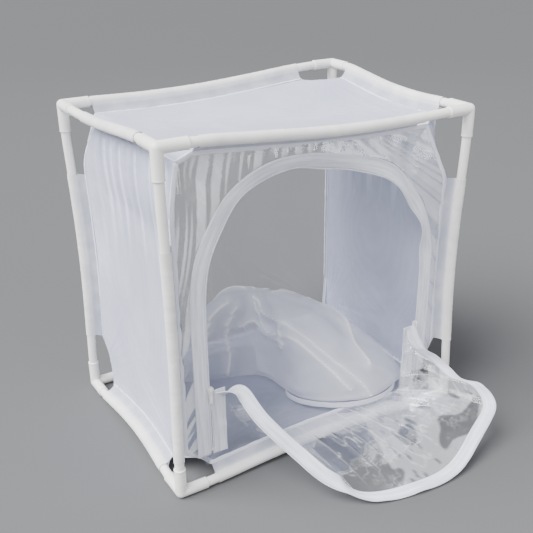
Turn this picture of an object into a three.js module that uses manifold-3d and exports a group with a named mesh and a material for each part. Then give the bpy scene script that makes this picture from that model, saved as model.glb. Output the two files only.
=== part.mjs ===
// Free-standing butterfly enclosure: a box of push-fit pipes with a sewn net and film cover hung inside it.
// Millimetres. X to the right, Y to the back, Z up. The front has an arched zip door, shown unzipped and
// folded forward over the bottom pipe, and a net access sleeve heaped on the floor panel.
import * as THREE from "three";
import Module from "manifold-3d";

const wasm = await Module();
wasm.setup();

// Overall size, outside to outside of the corner fittings
const overallWidth = 600;
const overallDepth = 430;
const overallHeight = 600;
// Opposite top corners stand this far above and below level, because the pipes are pushed in by hand
const frameTwist = 9;

// Pipes
const pipeDiameter = 16;
const pipeWall = 1.6;
const railBow = 6.5;
const postBow = 5;
const doorRailSag = 10;

// Corner fittings
const fittingDiameter = 20;
const fittingReach = 48;
const socketDepth = 32;
const pushFitGap = 0.3;

// Cover: sleeves round the pipes, bound seams and panels
const sleeveCloth = 0.6;
const sleeveGap = 0.3;
const bagInset = 18;
const freeReach = 100;
const flangeThickness = 1;
const bindingWidth = 3.2;
const bindingLength = 5;
const netThickness = 0.8;
const filmThickness = 0.8;
const seamGap = 0.3;
const floorSag = 12;
const topSag = 4;
const pleatDepth = 2.4;
const pleatLength = 220;
const filmRipple = 2.4;

// Door and zip
const doorMargin = 53;
const doorHeadroom = 51;
const doorSillLeft = 56;
const doorSillRight = 74;
const springingDrop = 270;
const tapeWidth = 25;
const tapeThickness = 1;
const coilWidth = 2.2;
const coilThickness = 2.2;
const coilGap = 1.2;
const zipOpenHeight = 174;
const flapTapeWidth = 22;
const flapReach = 225;
const flapCrown = 12;
const hemGap = 0.4;
const coilSeatGap = 0.9;

// Zip slider and pull tab
const sliderWidth = 11;
const sliderNeck = 8;
const sliderLength = 13;
const sliderPlate = 1;
const sliderGap = 0.3;
const sliderWedge = 0.6;
const bailWidth = 2;
const bailHeight = 3.2;
const bailBar = 1;
const pullLength = 24;
const pullWidth = 6;
const pullTip = 4.4;
const pullThickness = 1.2;
const pullWindow = 5.4;
const pullWindowWidth = 3;
const stopHeight = 5;

// Net access sleeve and its seam band
const bandHalfLength = 110;
const bandHalfBreadth = 84;
const bandTurn = 20;
const bandHeight = 11;
const bandThickness = 1.2;
const bandOffset = 100;
const bandSetback = 73;
const bandFrontLevel = 44;
const heapHeight = 208;
const heapFolds = 8;
const heapFoldDepth = 7;

// Facets
const pipeSides = 10;
const boreSides = 6;
const legSides = 12;
const cornerShare = 0.45;
const plateCurveSteps = 3;

// Cells of the panels to each quarter of a sleeve, and cells along and across the other sheets
const panelCells = 2;
const pleatedCells = 8;
const sideRows = 1;
const borderCells = 3;
const surroundRows = 4;
const footCells = 26;
const footRows = 2;
const rimCells = 44;
const flapRows = 6;
const bandSteps = 30;
const heapCells = 42;
const heapRows = 9;

const vec = (x, y, z) => new THREE.Vector3(x, y, z);
const axisX = vec(1, 0, 0);
const axisY = vec(0, 1, 0);
const axisZ = vec(0, 0, 1);

const fittingRadius = fittingDiameter / 2;
const pipeRadius = pipeDiameter / 2;
const halfWidth = overallWidth / 2 - fittingRadius;
const halfDepth = overallDepth / 2 - fittingRadius;
const bottomLevel = fittingRadius;
const topLevel = overallHeight - fittingRadius;
const doorHalfWidth = overallWidth / 2 - doorMargin;
const doorTop = overallHeight - doorHeadroom;
const springingHeight = overallHeight - springingDrop;

const assembly = new THREE.Group();
const materials = {
  pipe: new THREE.MeshStandardMaterial({ color: 0xf2f1ee, roughness: 0.42, metalness: 0 }),
  fitting: new THREE.MeshStandardMaterial({ color: 0xf5f4f0, roughness: 0.36, metalness: 0 }),
  cloth: new THREE.MeshStandardMaterial({ color: 0xe9e9f2, roughness: 0.85, metalness: 0 }),
  net: new THREE.MeshStandardMaterial({
    color: 0xd5d8ea, roughness: 0.9, metalness: 0, transparent: true, opacity: 0.75,
  }),
  film: new THREE.MeshStandardMaterial({
    color: 0xe8ecf2, roughness: 0.08, metalness: 0, transparent: true, opacity: 0.22,
  }),
  tape: new THREE.MeshStandardMaterial({ color: 0xf0f0f5, roughness: 0.8, metalness: 0 }),
  zip: new THREE.MeshStandardMaterial({ color: 0xf4f4f6, roughness: 0.45, metalness: 0 }),
};

// Puts a geometry into the assembly under its own name.
function place(name, geometry, material) {
  const mesh = new THREE.Mesh(geometry, material);
  mesh.name = name;
  assembly.add(mesh);
  return mesh;
}

// Six times the volume inside a triangle list, negative when its faces point in.
function signedVolume(points, triangles) {
  let sum = 0;
  for (const [a, b, c] of triangles) {
    sum += points[a].dot(points[b].clone().cross(points[c]));
  }
  return sum;
}

// A closed mesh from points and triangles, turned so that its faces point out.
function closedGeometry(points, triangles) {
  const out = signedVolume(points, triangles) > 0;
  const geometry = new THREE.BufferGeometry();
  geometry.setFromPoints(points);
  geometry.setIndex(triangles.flatMap(([a, b, c]) => (out ? [a, b, c] : [a, c, b])));
  geometry.computeVertexNormals();
  return geometry;
}

// Walls between rings of equal size, added to triangles.
function ringWalls(rings, triangles, inward) {
  for (let r = 0; r + 1 < rings.length; r += 1) {
    const count = rings[r].length;
    for (let i = 0; i < count; i += 1) {
      const j = (i + 1) % count;
      const [a, b, c, d] = [rings[r][i], rings[r][j], rings[r + 1][j], rings[r + 1][i]];
      const faces = inward ? [[a, c, b], [a, d, c]] : [[a, b, c], [a, c, d]];
      triangles.push(...faces);
    }
  }
}

// A loft through cross-sections: outer loops at some places, and bore loops at others.
// section(loop, at) places a 2D loop at a station; both lists end at the same two stations.
function loft(outerLoop, outerStations, boreLoop, boreStations, section) {
  const points = [];
  const triangles = [];
  const addRing = (loop, at) => section(loop, at).map((p) => points.push(p) - 1);
  const outer = outerStations.map((at) => addRing(outerLoop, at));
  ringWalls(outer, triangles, false);
  const bore = boreLoop ? boreStations.map((at) => addRing(boreLoop, at)) : [];
  ringWalls(bore, triangles, true);
  const caps = THREE.ShapeUtils.triangulateShape(outerLoop, boreLoop ? [boreLoop] : []);
  const last = (list) => list[list.length - 1];
  const first = bore.length ? [...outer[0], ...bore[0]] : outer[0];
  const final = bore.length ? [...last(outer), ...last(bore)] : last(outer);
  for (const [a, b, c] of caps) {
    triangles.push([first[a], first[c], first[b]]);
    triangles.push([final[a], final[b], final[c]]);
  }
  return closedGeometry(points, triangles);
}

// A thin closed sheet about a grid of points. A grid that is closed round joins its last row to its first.
function sheet(grid, thickness, closedRound = false) {
  const rows = grid.length;
  const columns = grid[0].length;
  const index = (i, j) => ((i + rows) % rows) * columns + j;
  const row = (i) => (closedRound ? grid[(i + rows) % rows] : grid[Math.min(Math.max(i, 0), rows - 1)]);
  const points = [];
  const lower = [];
  for (let i = 0; i < rows; i += 1) {
    for (let j = 0; j < columns; j += 1) {
      const along = row(i + 1)[j].clone().sub(row(i - 1)[j]);
      const across = grid[i][Math.min(j + 1, columns - 1)].clone().sub(grid[i][Math.max(j - 1, 0)]);
      const normal = along.cross(across).normalize();
      points.push(grid[i][j].clone().addScaledVector(normal, thickness / 2));
      lower.push(grid[i][j].clone().addScaledVector(normal, -thickness / 2));
    }
  }
  const under = points.length;
  points.push(...lower);
  const triangles = [];
  const quad = (a, b, c, d) => triangles.push([a, b, c], [a, c, d]);
  const last = columns - 1;
  const rowSpans = closedRound ? rows : rows - 1;
  for (let i = 0; i < rowSpans; i += 1) {
    for (let j = 0; j < last; j += 1) {
      const [a, b, c, d] = [index(i, j), index(i + 1, j), index(i + 1, j + 1), index(i, j + 1)];
      quad(a, b, c, d);
      quad(a + under, d + under, c + under, b + under);
    }
    const [a, b, c, d] = [index(i, 0), index(i + 1, 0), index(i, last), index(i + 1, last)];
    quad(a, a + under, b + under, b);
    quad(c, d, d + under, c + under);
  }
  for (let j = 0; j < (closedRound ? 0 : last); j += 1) {
    const [a, b, c, d] = [index(0, j), index(0, j + 1), index(rows - 1, j), index(rows - 1, j + 1)];
    quad(a, b, b + under, a + under);
    quad(c, c + under, d + under, d);
  }
  return closedGeometry(points, triangles);
}

const gridOf = (uNodes, vNodes, at) => uNodes.map((u, i) => vNodes.map((v, j) => at(u, v, i, j)));
const evenNodes = (count) => Array.from({ length: count + 1 }, (_, i) => i / count);

// A strip of rectangular section through frames, each with a centre and the directions of the strip's
// width and thickness.
function strip(frames, width, thickness, closedRound = false) {
  const points = [];
  const rings = frames.map(({ centre, across, normal }) => {
    const corner = (a, n) => {
      const point = centre.clone().addScaledVector(across, (a * width) / 2);
      return points.push(point.addScaledVector(normal, (n * thickness) / 2)) - 1;
    };
    return [corner(-1, -1), corner(1, -1), corner(1, 1), corner(-1, 1)];
  });
  const triangles = [];
  ringWalls(closedRound ? [...rings, rings[0]] : rings, triangles, false);
  if (!closedRound) {
    const [a, b, c, d] = rings[0];
    triangles.push([a, c, b], [a, d, c]);
    const [e, f, g, h] = rings[rings.length - 1];
    triangles.push([e, f, g], [e, g, h]);
  }
  return closedGeometry(points, triangles);
}

// A three.js geometry as a solid that can be joined and cut.
function solidFrom(geometry) {
  const flat = geometry.index ? geometry.toNonIndexed() : geometry;
  const source = flat.attributes.position.array;
  const seen = new Map();
  const corners = [];
  const triangles = [];
  for (let i = 0; i < source.length; i += 3) {
    const key = [0, 1, 2].map((k) => Math.round(source[i + k] * 1e4)).join();
    if (!seen.has(key)) {
      seen.set(key, corners.length / 3);
      corners.push(source[i], source[i + 1], source[i + 2]);
    }
    triangles.push(seen.get(key));
  }
  const kept = [];
  for (let i = 0; i < triangles.length; i += 3) {
    const [a, b, c] = triangles.slice(i, i + 3);
    if (a !== b && b !== c && a !== c) {
      kept.push(a, b, c);
    }
  }
  return new wasm.Manifold(
    new wasm.Mesh({
      numProp: 3,
      vertProperties: new Float32Array(corners),
      triVerts: new Uint32Array(kept),
    }),
  );
}

// A joined or cut solid back as a geometry.
function geometryFrom(solid) {
  const mesh = solid.getMesh();
  const geometry = new THREE.BufferGeometry();
  geometry.setAttribute("position", new THREE.BufferAttribute(new Float32Array(mesh.vertProperties), 3));
  geometry.setIndex([...mesh.triVerts]);
  geometry.computeVertexNormals();
  return geometry;
}

const joined = (...geometries) =>
  geometryFrom(geometries.map(solidFrom).reduce((sum, solid) => sum.add(solid)));

// A box from its centre and its size.
function box(centre, size) {
  return new THREE.BoxGeometry(size.x, size.y, size.z).translate(centre.x, centre.y, centre.z);
}

// The frame: corners, fittings and pipes

const twistAt = (side, face) => frameTwist * side * face;

// The point where the three pipe axes of a corner meet. side, face and level are -1 or 1.
function cornerPoint(side, face, level) {
  const height = level > 0 ? topLevel + twistAt(side, face) : bottomLevel;
  return vec(side * halfWidth, face * halfDepth, height);
}

// A fitting's leg: a cup along a direction from the corner point, its socket ending at a stop.
function fittingLeg(direction) {
  const flat = Math.cos(Math.PI / legSides);
  const outer = fittingRadius / flat;
  const bore = (pipeRadius + pushFitGap) / flat;
  const stop = fittingReach - socketDepth;
  const profile = [
    [0, 0],
    [outer, 0],
    [outer, fittingReach],
    [bore, fittingReach],
    [bore, stop],
    [0, stop],
  ].map(([r, h]) => new THREE.Vector2(r, h));
  const leg = new THREE.LatheGeometry(profile, legSides);
  leg.rotateY(Math.PI / legSides);
  leg.applyQuaternion(new THREE.Quaternion().setFromUnitVectors(axisY, direction));
  return leg;
}

const sideNames = { "-1": "left", 1: "right" };
const faceNames = { "-1": "front", 1: "back" };
const levelNames = { "-1": "bottom", 1: "top" };

function cornerFitting(side, face, level) {
  const hub = new THREE.SphereGeometry(fittingRadius, legSides, legSides / 2);
  const legs = [vec(-side, 0, 0), vec(0, -face, 0), vec(0, 0, -level)].map(fittingLeg);
  const corner = cornerPoint(side, face, level);
  const geometry = joined(hub, ...legs);
  geometry.translate(corner.x, corner.y, corner.z);
  const name = `corner_fitting_${levelNames[level]}_${faceNames[face]}_${sideNames[side]}`;
  place(name, geometry, materials.fitting);
}

for (const level of [-1, 1]) {
  for (const face of [-1, 1]) {
    for (const side of [-1, 1]) {
      cornerFitting(side, face, level);
    }
  }
}

// Every pipe: its name, its end corners, how far its sleeve stays from each corner as shares of the free
// reach, and its bow. The first end is the left, front or bottom one. bow is inward, first sideways and
// then up or down, and on a post first sideways and then forward or back.
const pipeTable = [
  { name: "top_front", ends: [[-1, -1, 1], [1, -1, 1]], shares: [0.62, 1], bow: [railBow, doorRailSag] },
  { name: "top_back", ends: [[-1, 1, 1], [1, 1, 1]], shares: [0.52, 0.92], bow: [railBow, railBow] },
  { name: "bottom_front", ends: [[-1, -1, -1], [1, -1, -1]], shares: [0.68, 0.75], bow: [railBow, railBow] },
  { name: "bottom_back", ends: [[-1, 1, -1], [1, 1, -1]], shares: [0.7, 0.7], bow: [railBow, railBow] },
  { name: "top_left", ends: [[-1, -1, 1], [-1, 1, 1]], shares: [0.62, 1.05], bow: [railBow, railBow] },
  { name: "top_right", ends: [[1, -1, 1], [1, 1, 1]], shares: [0.65, 0.59], bow: [railBow, railBow] },
  { name: "bottom_left", ends: [[-1, -1, -1], [-1, 1, -1]], shares: [0.72, 0.62], bow: [railBow, railBow] },
  { name: "bottom_right", ends: [[1, -1, -1], [1, 1, -1]], shares: [0.7, 0.7], bow: [railBow, railBow] },
  { name: "front_left", ends: [[-1, -1, -1], [-1, -1, 1]], shares: [0.62, 1.55], bow: [postBow, postBow] },
  { name: "front_right", ends: [[1, -1, -1], [1, -1, 1]], shares: [1.2, 1.25], bow: [postBow, postBow] },
  { name: "back_left", ends: [[-1, 1, -1], [-1, 1, 1]], shares: [1.12, 1.26], bow: [postBow, postBow] },
  { name: "back_right", ends: [[1, 1, -1], [1, 1, 1]], shares: [1.05, 1.12], bow: [postBow, postBow] },
];

const smoothStep = (t) => t * t * (3 - 2 * t);
const bowFullnessShare = 1.25;

// A pipe's geometry data: its axis, inward directions and centre line.
function pipeData({ name, ends, shares, bow }) {
  const [start, end] = ends.map((corner) => cornerPoint(...corner));
  const free = shares.map((share) => share * freeReach);
  const [first, second] = ends;
  const along = [0, 1, 2].findIndex((k) => first[k] !== second[k]);
  const axis = [axisX, axisY, axisZ][along];
  const inward = [0, 1, 2].filter((k) => k !== along).map((k) => {
    const direction = vec(0, 0, 0);
    direction.setComponent(k, -first[k]);
    return direction;
  });
  const length = end.getComponent(along) - start.getComponent(along);
  const mouth = fittingReach / length;
  const centreAt = (distance) => {
    const share = distance / length;
    const t = Math.min(Math.max((share - mouth) / (1 - 2 * mouth), 0), 1);
    const point = start.clone().lerp(end, smoothStep(t));
    point.setComponent(along, start.getComponent(along) + distance);
    const bend = Math.sin(Math.PI * t) ** bowFullnessShare;
    return point.addScaledVector(inward[0], bow[0] * bend).addScaledVector(inward[1], bow[1] * bend);
  };
  const diagonal = inward[0].clone().add(inward[1]).normalize();
  const across = axis.clone().cross(diagonal);
  return { name, start, end, free, inward, axis, length, centreAt, diagonal, across, corners: ends };
}

const pipes = Object.fromEntries(pipeTable.map((row) => [row.name, pipeData(row)]));

// A regular polygon whose first facet faces the tail of the sleeve.
function polygon(radius, sides) {
  return Array.from({ length: sides }, (_, i) => {
    const angle = ((2 * i + 1) * Math.PI) / sides;
    return new THREE.Vector2(radius * Math.cos(angle), radius * Math.sin(angle));
  });
}

// Places a 2D loop round a pipe's centre line: x along the diagonal towards the bag, y across it.
const onPipe = (pipe) => (loop, distance) => {
  const centre = pipe.centreAt(distance);
  return loop.map(({ x, y }) =>
    centre.clone().addScaledVector(pipe.diagonal, x).addScaledVector(pipe.across, y),
  );
};

// Sleeve quarters, as shares of the sleeved length
const sleeveShares = [0, 0.25, 0.5, 0.75, 1];

function sleeveStations({ length, free }) {
  return sleeveShares.map((share) => free[0] + share * (length - free[0] - free[1]));
}

function addPipe(pipe) {
  const { length, name } = pipe;
  const seat = fittingReach - socketDepth + pushFitGap;
  const covered = sleeveStations(pipe);
  const outerStations = [seat, fittingReach, ...covered, length - fittingReach, length - seat];
  const boreStations = [seat, covered[0], covered[2], covered[4], length - seat];
  const geometry = loft(
    polygon(pipeRadius, pipeSides),
    outerStations,
    polygon(pipeRadius - pipeWall, boreSides),
    boreStations,
    onPipe(pipe),
  );
  const post = pipe.axis === axisZ;
  place(post ? `post_${name}` : `pipe_${name}`, geometry, materials.pipe);
}

// A sleeve: cloth looped round the pipe, its two layers brought together as a flange that ends in a
// bound seam, where the panels are sewn on.
const seamCentre = bagInset * Math.SQRT2;
const seamEnd = seamCentre + flangeThickness / 2;

function sleeveLoop() {
  const outer = pipeRadius + sleeveGap + sleeveCloth;
  const loop = polygon(outer, pipeSides);
  const facet = outer * Math.cos(Math.PI / pipeSides);
  const half = flangeThickness / 2;
  const binding = bindingWidth / 2;
  const tail = [
    [facet, -half],
    [seamEnd - bindingLength, -half],
    [seamEnd, -binding],
    [seamEnd, binding],
    [seamEnd - bindingLength, half],
    [facet, half],
  ];
  return [...loop, ...tail.map(([x, y]) => new THREE.Vector2(x, y))];
}

function addSleeve(pipe) {
  const stations = sleeveStations(pipe);
  const bore = polygon(pipeRadius + sleeveGap, pipeSides);
  const geometry = loft(sleeveLoop(), stations, bore, stations, onPipe(pipe));
  place(`sleeve_${pipe.name}`, geometry, materials.cloth);
}

Object.values(pipes).forEach(addPipe);
Object.values(pipes).forEach(addSleeve);

// The bag: its edges follow the seams, and its corners are drawn in between the sleeves

// How far each bag corner lies from the frame's corner along each pipe, as shares of that pipe's free end.
// Corners that aren't listed take the common share.
const cornerShares = {
  bottom_front_left: [0.75, 0.35, 0.52],
  bottom_front_right: [0.63, 0.45, 0.39],
  top_front_left: [0.6, 0.45, 0.21],
  top_front_right: [0.68, 0.42, 0.17],
  top_back_right: [0.6, 0.66, 0.45],
};

const cornerName = (side, face, level) => `${levelNames[level]}_${faceNames[face]}_${sideNames[side]}`;

function bagCorner(side, face, level) {
  const corner = [side, face, level];
  const shares = cornerShares[cornerName(side, face, level)];
  const point = cornerPoint(side, face, level);
  for (const pipe of Object.values(pipes)) {
    const end = pipe.corners.findIndex((c) => c.every((value, k) => value === corner[k]));
    if (end >= 0) {
      const share = shares ? shares[[axisX, axisY, axisZ].indexOf(pipe.axis)] : cornerShare;
      const depth = Math.max(pipe.free[end] * share, bagInset);
      point.addScaledVector(pipe.axis, end === 0 ? depth : -depth);
    }
  }
  return point;
}

// The same corner if the seams ran on straight until they met
function squareCorner(side, face, level) {
  return cornerPoint(side, face, level).add(vec(-side, -face, -level).multiplyScalar(bagInset));
}

// A pipe's seam at a share of its sleeve, straight between the sleeve's stations.
function seamAt(pipe, share) {
  const stations = sleeveStations(pipe);
  const quarters = sleeveShares.length - 1;
  const k = Math.min(Math.max(Math.floor(share * quarters), 0), quarters - 1);
  const point = pipe.centreAt(stations[k]).lerp(pipe.centreAt(stations[k + 1]), share * quarters - k);
  return point.addScaledVector(pipe.inward[0], bagInset).addScaledVector(pipe.inward[1], bagInset);
}

// A bag edge from corner to corner. The outer shares of t run from a corner to the sleeve's end.
const cornerStretchShare = 1 / 8;

function edgeBetween(pipe, t, corners) {
  if (t < cornerStretchShare) {
    return corners[0].clone().lerp(seamAt(pipe, 0), t / cornerStretchShare);
  }
  if (t > 1 - cornerStretchShare) {
    return corners[1].clone().lerp(seamAt(pipe, 1), (1 - t) / cornerStretchShare);
  }
  return seamAt(pipe, (t - cornerStretchShare) / (1 - 2 * cornerStretchShare));
}

const bagEdge = (pipe, t) => edgeBetween(pipe, t, pipe.corners.map((c) => bagCorner(...c)));
const squareEdge = (pipe, t) => edgeBetween(pipe, t, pipe.corners.map((c) => squareCorner(...c)));

// Values of t along an edge, with nodes at the sleeve's stations and so many cells to each quarter.
function edgeNodes(perQuarter) {
  const cells = (sleeveShares.length - 1) * perQuarter;
  const covered = evenNodes(cells).map((s) => cornerStretchShare + s * (1 - 2 * cornerStretchShare));
  return [0, ...covered, 1];
}

// The panels start this far in from the seam line, clear of the binding.
const seamSetback = (seamEnd + bindingWidth / 2) / Math.SQRT2 - bagInset + seamGap;

// How fast a drawn-in corner's pull dies away over a panel
const cornerFadeShare = 0.35;
const fade = (t) => Math.max(1 - t / cornerFadeShare, 0) ** 2;

// A surface stretched between four bag edges and set back from them. low and high run along u at
// v = 0 and 1, and first and last along v at u = 0 and 1.
function panelSurface({ low, high, first, last }) {
  const [lowPipe, highPipe, firstPipe, lastPipe] = [low, high, first, last].map((name) => pipes[name]);
  const blend = (edge, u, v, weigh) => {
    const sides = [
      [edge(lowPipe, u), weigh(v)],
      [edge(highPipe, u), weigh(1 - v)],
      [edge(firstPipe, v), weigh(u)],
      [edge(lastPipe, v), weigh(1 - u)],
      [edge(lowPipe, 0), -weigh(u) * weigh(v)],
      [edge(lowPipe, 1), -weigh(1 - u) * weigh(v)],
      [edge(highPipe, 0), -weigh(u) * weigh(1 - v)],
      [edge(highPipe, 1), -weigh(1 - u) * weigh(1 - v)],
    ];
    return sides.reduce((sum, [point, weight]) => sum.addScaledVector(point, weight), vec(0, 0, 0));
  };
  const pull = (pipe, t) => bagEdge(pipe, t).sub(squareEdge(pipe, t));
  return (u, v) => {
    const point = blend(squareEdge, u, v, (t) => 1 - t).add(blend(pull, u, v, fade));
    point.addScaledVector(lowPipe.axis, seamSetback * (1 - 2 * u));
    return point.addScaledVector(firstPipe.axis, seamSetback * (1 - 2 * v));
  };
}

// Bulge of a cloth held along its four edges
const pillow = (u, v) => Math.sin(Math.PI * u) * Math.sin(Math.PI * v);

const panelNodes = edgeNodes(panelCells);
const floorSurface = panelSurface({
  low: "bottom_front", high: "bottom_back", first: "bottom_left", last: "bottom_right",
});
const floorAt = (u, v) => floorSurface(u, v).addScaledVector(axisZ, -floorSag * pillow(u, v));
const topSurface = panelSurface({ low: "top_front", high: "top_back", first: "top_left", last: "top_right" });
const topAt = (u, v) => topSurface(u, v).addScaledVector(axisZ, -topSag * pillow(u, v));
const backAt = panelSurface({ low: "bottom_back", high: "top_back", first: "back_left", last: "back_right" });

place("bottom_net_panel", sheet(gridOf(panelNodes, panelNodes, floorAt), netThickness), materials.net);
place("top_net_panel", sheet(gridOf(panelNodes, panelNodes, topAt), netThickness), materials.net);
place("back_film_panel", sheet(gridOf(panelNodes, panelNodes, backAt), filmThickness), materials.film);

// A side panel hangs in pleats from its top rail, which fade downwards.
const cellsPerPleat = 3;

function sidePanel(side) {
  const name = sideNames[side];
  const surface = panelSurface({
    low: `bottom_${name}`, high: `top_${name}`, first: `front_${name}`, last: `back_${name}`,
  });
  const hang = (u, v, i) => {
    const point = surface(u, v);
    const below = topLevel - point.z;
    const depth = pleatDepth * Math.max(1 - below / pleatLength, 0) * Math.sin(Math.PI * u);
    const valley = i % cellsPerPleat === 0 ? 0 : 1;
    return point.addScaledVector(axisX, -side * depth * valley * Math.sin(Math.PI * v) ** (1 / 2));
  };
  return sheet(gridOf(edgeNodes(pleatedCells), edgeNodes(sideRows), hang), netThickness);
}

place("left_net_panel", sidePanel(-1), materials.net);
place("right_net_panel", sidePanel(1), materials.net);

// The front: door outline, film round the door and the zip

const frontPlane = -halfDepth + bagInset;

// The door's arch above its straight sides, as shares of its half width and of its rise
const archShares = [
  [-0.99, 0.14], [-0.955, 0.37], [-0.87, 0.59], [-0.745, 0.775], [-0.595, 0.9], [-0.4, 0.985],
  [-0.2, 1], [0, 0.978], [0.18, 0.935], [0.36, 0.885], [0.57, 0.805], [0.77, 0.6],
  [0.885, 0.41], [0.945, 0.24], [0.985, 0.09],
];
const archRise = doorTop - springingHeight;
const onFront = (x, z) => vec(x, frontPlane, z);
const leftJamb = new THREE.LineCurve3(
  onFront(-doorHalfWidth, doorSillLeft),
  onFront(-doorHalfWidth, springingHeight),
);
const rightJamb = new THREE.LineCurve3(
  onFront(doorHalfWidth, springingHeight),
  onFront(doorHalfWidth, doorSillRight),
);
const arch = new THREE.CatmullRomCurve3(
  [
    leftJamb.v2,
    ...archShares.map(([x, z]) => onFront(x * doorHalfWidth, springingHeight + z * archRise)),
    rightJamb.v1,
  ],
  false,
  "centripetal",
);
const outline = [leftJamb, arch, rightJamb];

// The door's outline at s from 0 to 3, one unit to each jamb and to the arch, moved in by an inset.
function outlineAt(s, inset) {
  const k = Math.min(Math.floor(s), outline.length - 1);
  const tangent = outline[k].getTangentAt(s - k);
  const across = vec(tangent.z, 0, -tangent.x);
  return { centre: outline[k].getPointAt(s - k).addScaledVector(across, inset), across, normal: axisY };
}

// The front film's outer edge in one run: from the bottom seam up the left post, along the top and
// down the right post to the bottom seam again.
const chainCentre = doorHalfWidth - tapeWidth - seamGap - coilWidth - coilGap / 2;
const zippedEdge = chainCentre - coilGap / 2 - coilWidth - tapeWidth;
const footHalfWidth = zippedEdge - seamGap;

function bottomSeamAt(x) {
  const pipe = pipes.bottom_front;
  const covered = pipe.length - pipe.free[0] - pipe.free[1];
  return seamAt(pipe, (x + halfWidth - pipe.free[0]) / covered).addScaledVector(axisZ, seamSetback);
}

const borderNodes = edgeNodes(borderCells);
const border = [
  bottomSeamAt(-zippedEdge),
  ...borderNodes.map((t) => bagEdge(pipes.front_left, t).addScaledVector(axisX, seamSetback)),
  ...borderNodes.slice(1).map((t) => bagEdge(pipes.top_front, t).addScaledVector(axisZ, -seamSetback)),
  ...borderNodes.slice(1).map((t) => bagEdge(pipes.front_right, 1 - t).addScaledVector(axisX, -seamSetback)),
  bottomSeamAt(zippedEdge),
];

// Each border point faces a station of the door's outline: level with it on the jambs, and at the same
// angle on the arch. Stations near the sill keep a least step.
const stationStepShare = 0.03;
const doorStations = border.map((point, i) => {
  const turn = Math.atan2(point.z - springingHeight, -point.x) / Math.PI;
  const left = (point.z - doorSillLeft) / (springingHeight - doorSillLeft);
  const right = outline.length - (point.z - doorSillRight) / (springingHeight - doorSillRight);
  const station = point.z > springingHeight ? 1 + turn : point.x < 0 ? left : right;
  const fromEnd = border.length - 1 - i;
  return Math.min(Math.max(station, i * stationStepShare), outline.length - fromEnd * stationStepShare);
});

// The film is drawn into ripples that cross it from the door to the seam.
const surroundNodes = evenNodes(surroundRows);
const sills = { "-1": doorSillLeft, 1: doorSillRight };

// The film's inner edge. So many of its points at each end run below the tapes.
const tuckedPoints = 2;

function surroundInner(s, i) {
  const side = i < border.length / 2 ? -1 : 1;
  const fromEnd = Math.min(i, border.length - 1 - i);
  const edge = outlineAt(s, -2 * seamGap).centre;
  if (fromEnd >= tuckedPoints) {
    return edge;
  }
  return onFront(fromEnd === 0 ? side * zippedEdge : edge.x, sills[side] - seamGap);
}

const surround = doorStations.map((s, i) =>
  surroundNodes.map((v) => {
    const point = surroundInner(s, i).lerp(border[i], v);
    const ripple = i % 2 === 0 ? filmRipple : 0;
    return point.addScaledVector(axisY, ripple * Math.sin(Math.PI * v) * Math.sin(Math.PI * (s / 3)));
  }),
);
place("front_film_surround", sheet(surround, filmThickness), materials.film);

// Tape sewn to the film's edge, and the coil on the tape's free edge
const doorStrip = (inset, width, thickness) =>
  strip(doorStations.map((s) => outlineAt(s, inset + width / 2)), width, thickness);
place("door_zip_tape", doorStrip(0, tapeWidth, tapeThickness), materials.tape);

// The coils start above the end stops.
const chainStart = (sign) => sills[sign] + stopHeight + seamGap;
const coilFrames = doorStations.map((s) => {
  const frame = outlineAt(s, tapeWidth + seamGap + coilWidth / 2);
  frame.centre.z = Math.max(frame.centre.z, chainStart(Math.sign(frame.centre.x)));
  return frame;
});
place("door_zip_coil", strip(coilFrames, coilWidth, coilThickness), materials.zip);

// A box in the front's plane between two levels
function frontBox(x, width, thickness, low, high) {
  return box(onFront(x, (low + high) / 2), vec(width, thickness, high - low));
}

// The flap's tape that is still zipped, from the sill to the slider, with its own coil.
function zippedTape(sign) {
  const coilX = sign * (chainCentre - (coilGap + coilWidth) / 2);
  const tapeX = sign * (zippedEdge + tapeWidth / 2);
  return joined(
    frontBox(coilX, coilWidth, coilThickness, chainStart(sign), zipOpenHeight),
    frontBox(tapeX, tapeWidth, tapeThickness, sills[sign], zipOpenHeight),
  );
}

// End stop below the chain, between the two tapes
function zipStop(sign) {
  const width = 2 * (coilWidth - seamGap) + coilGap;
  return frontBox(sign * chainCentre, width, coilThickness, sills[sign], sills[sign] + stopHeight);
}

// The slider: two plates either side of the coils, a wedge between the coils and a bail on the front plate.
const sliderPlateOffset = coilThickness / 2 + sliderGap + sliderPlate / 2;
const sliderHeight = zipOpenHeight + sliderLength / 2 - stopHeight;
const bailFoot = frontPlane - sliderPlateOffset - sliderPlate / 2;
const bailHalf = sliderLength / 2 - 2 * bailBar;
const pullAxisY = bailFoot - (bailHeight - bailBar) / 2;

// A shape as a plate that stands in the front's plane, centred on its own thickness
function flatPlate(shape, thickness) {
  const plate = new THREE.ExtrudeGeometry(shape, {
    depth: thickness,
    bevelEnabled: false,
    curveSegments: plateCurveSteps,
  });
  plate.translate(0, 0, -thickness / 2);
  return plate.rotateX(Math.PI / 2);
}

function sliderPlateGeometry(y, x) {
  const half = sliderLength / 2;
  const shape = new THREE.Shape();
  shape.moveTo(-sliderNeck / 2, -half);
  shape.lineTo(sliderNeck / 2, -half);
  shape.lineTo(sliderWidth / 2, half / 2);
  shape.quadraticCurveTo(sliderWidth / 2, half, 0, half);
  shape.quadraticCurveTo(-sliderWidth / 2, half, -sliderWidth / 2, half / 2);
  const plate = flatPlate(shape, sliderPlate);
  return plate.translate(x, y, sliderHeight);
}

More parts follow.
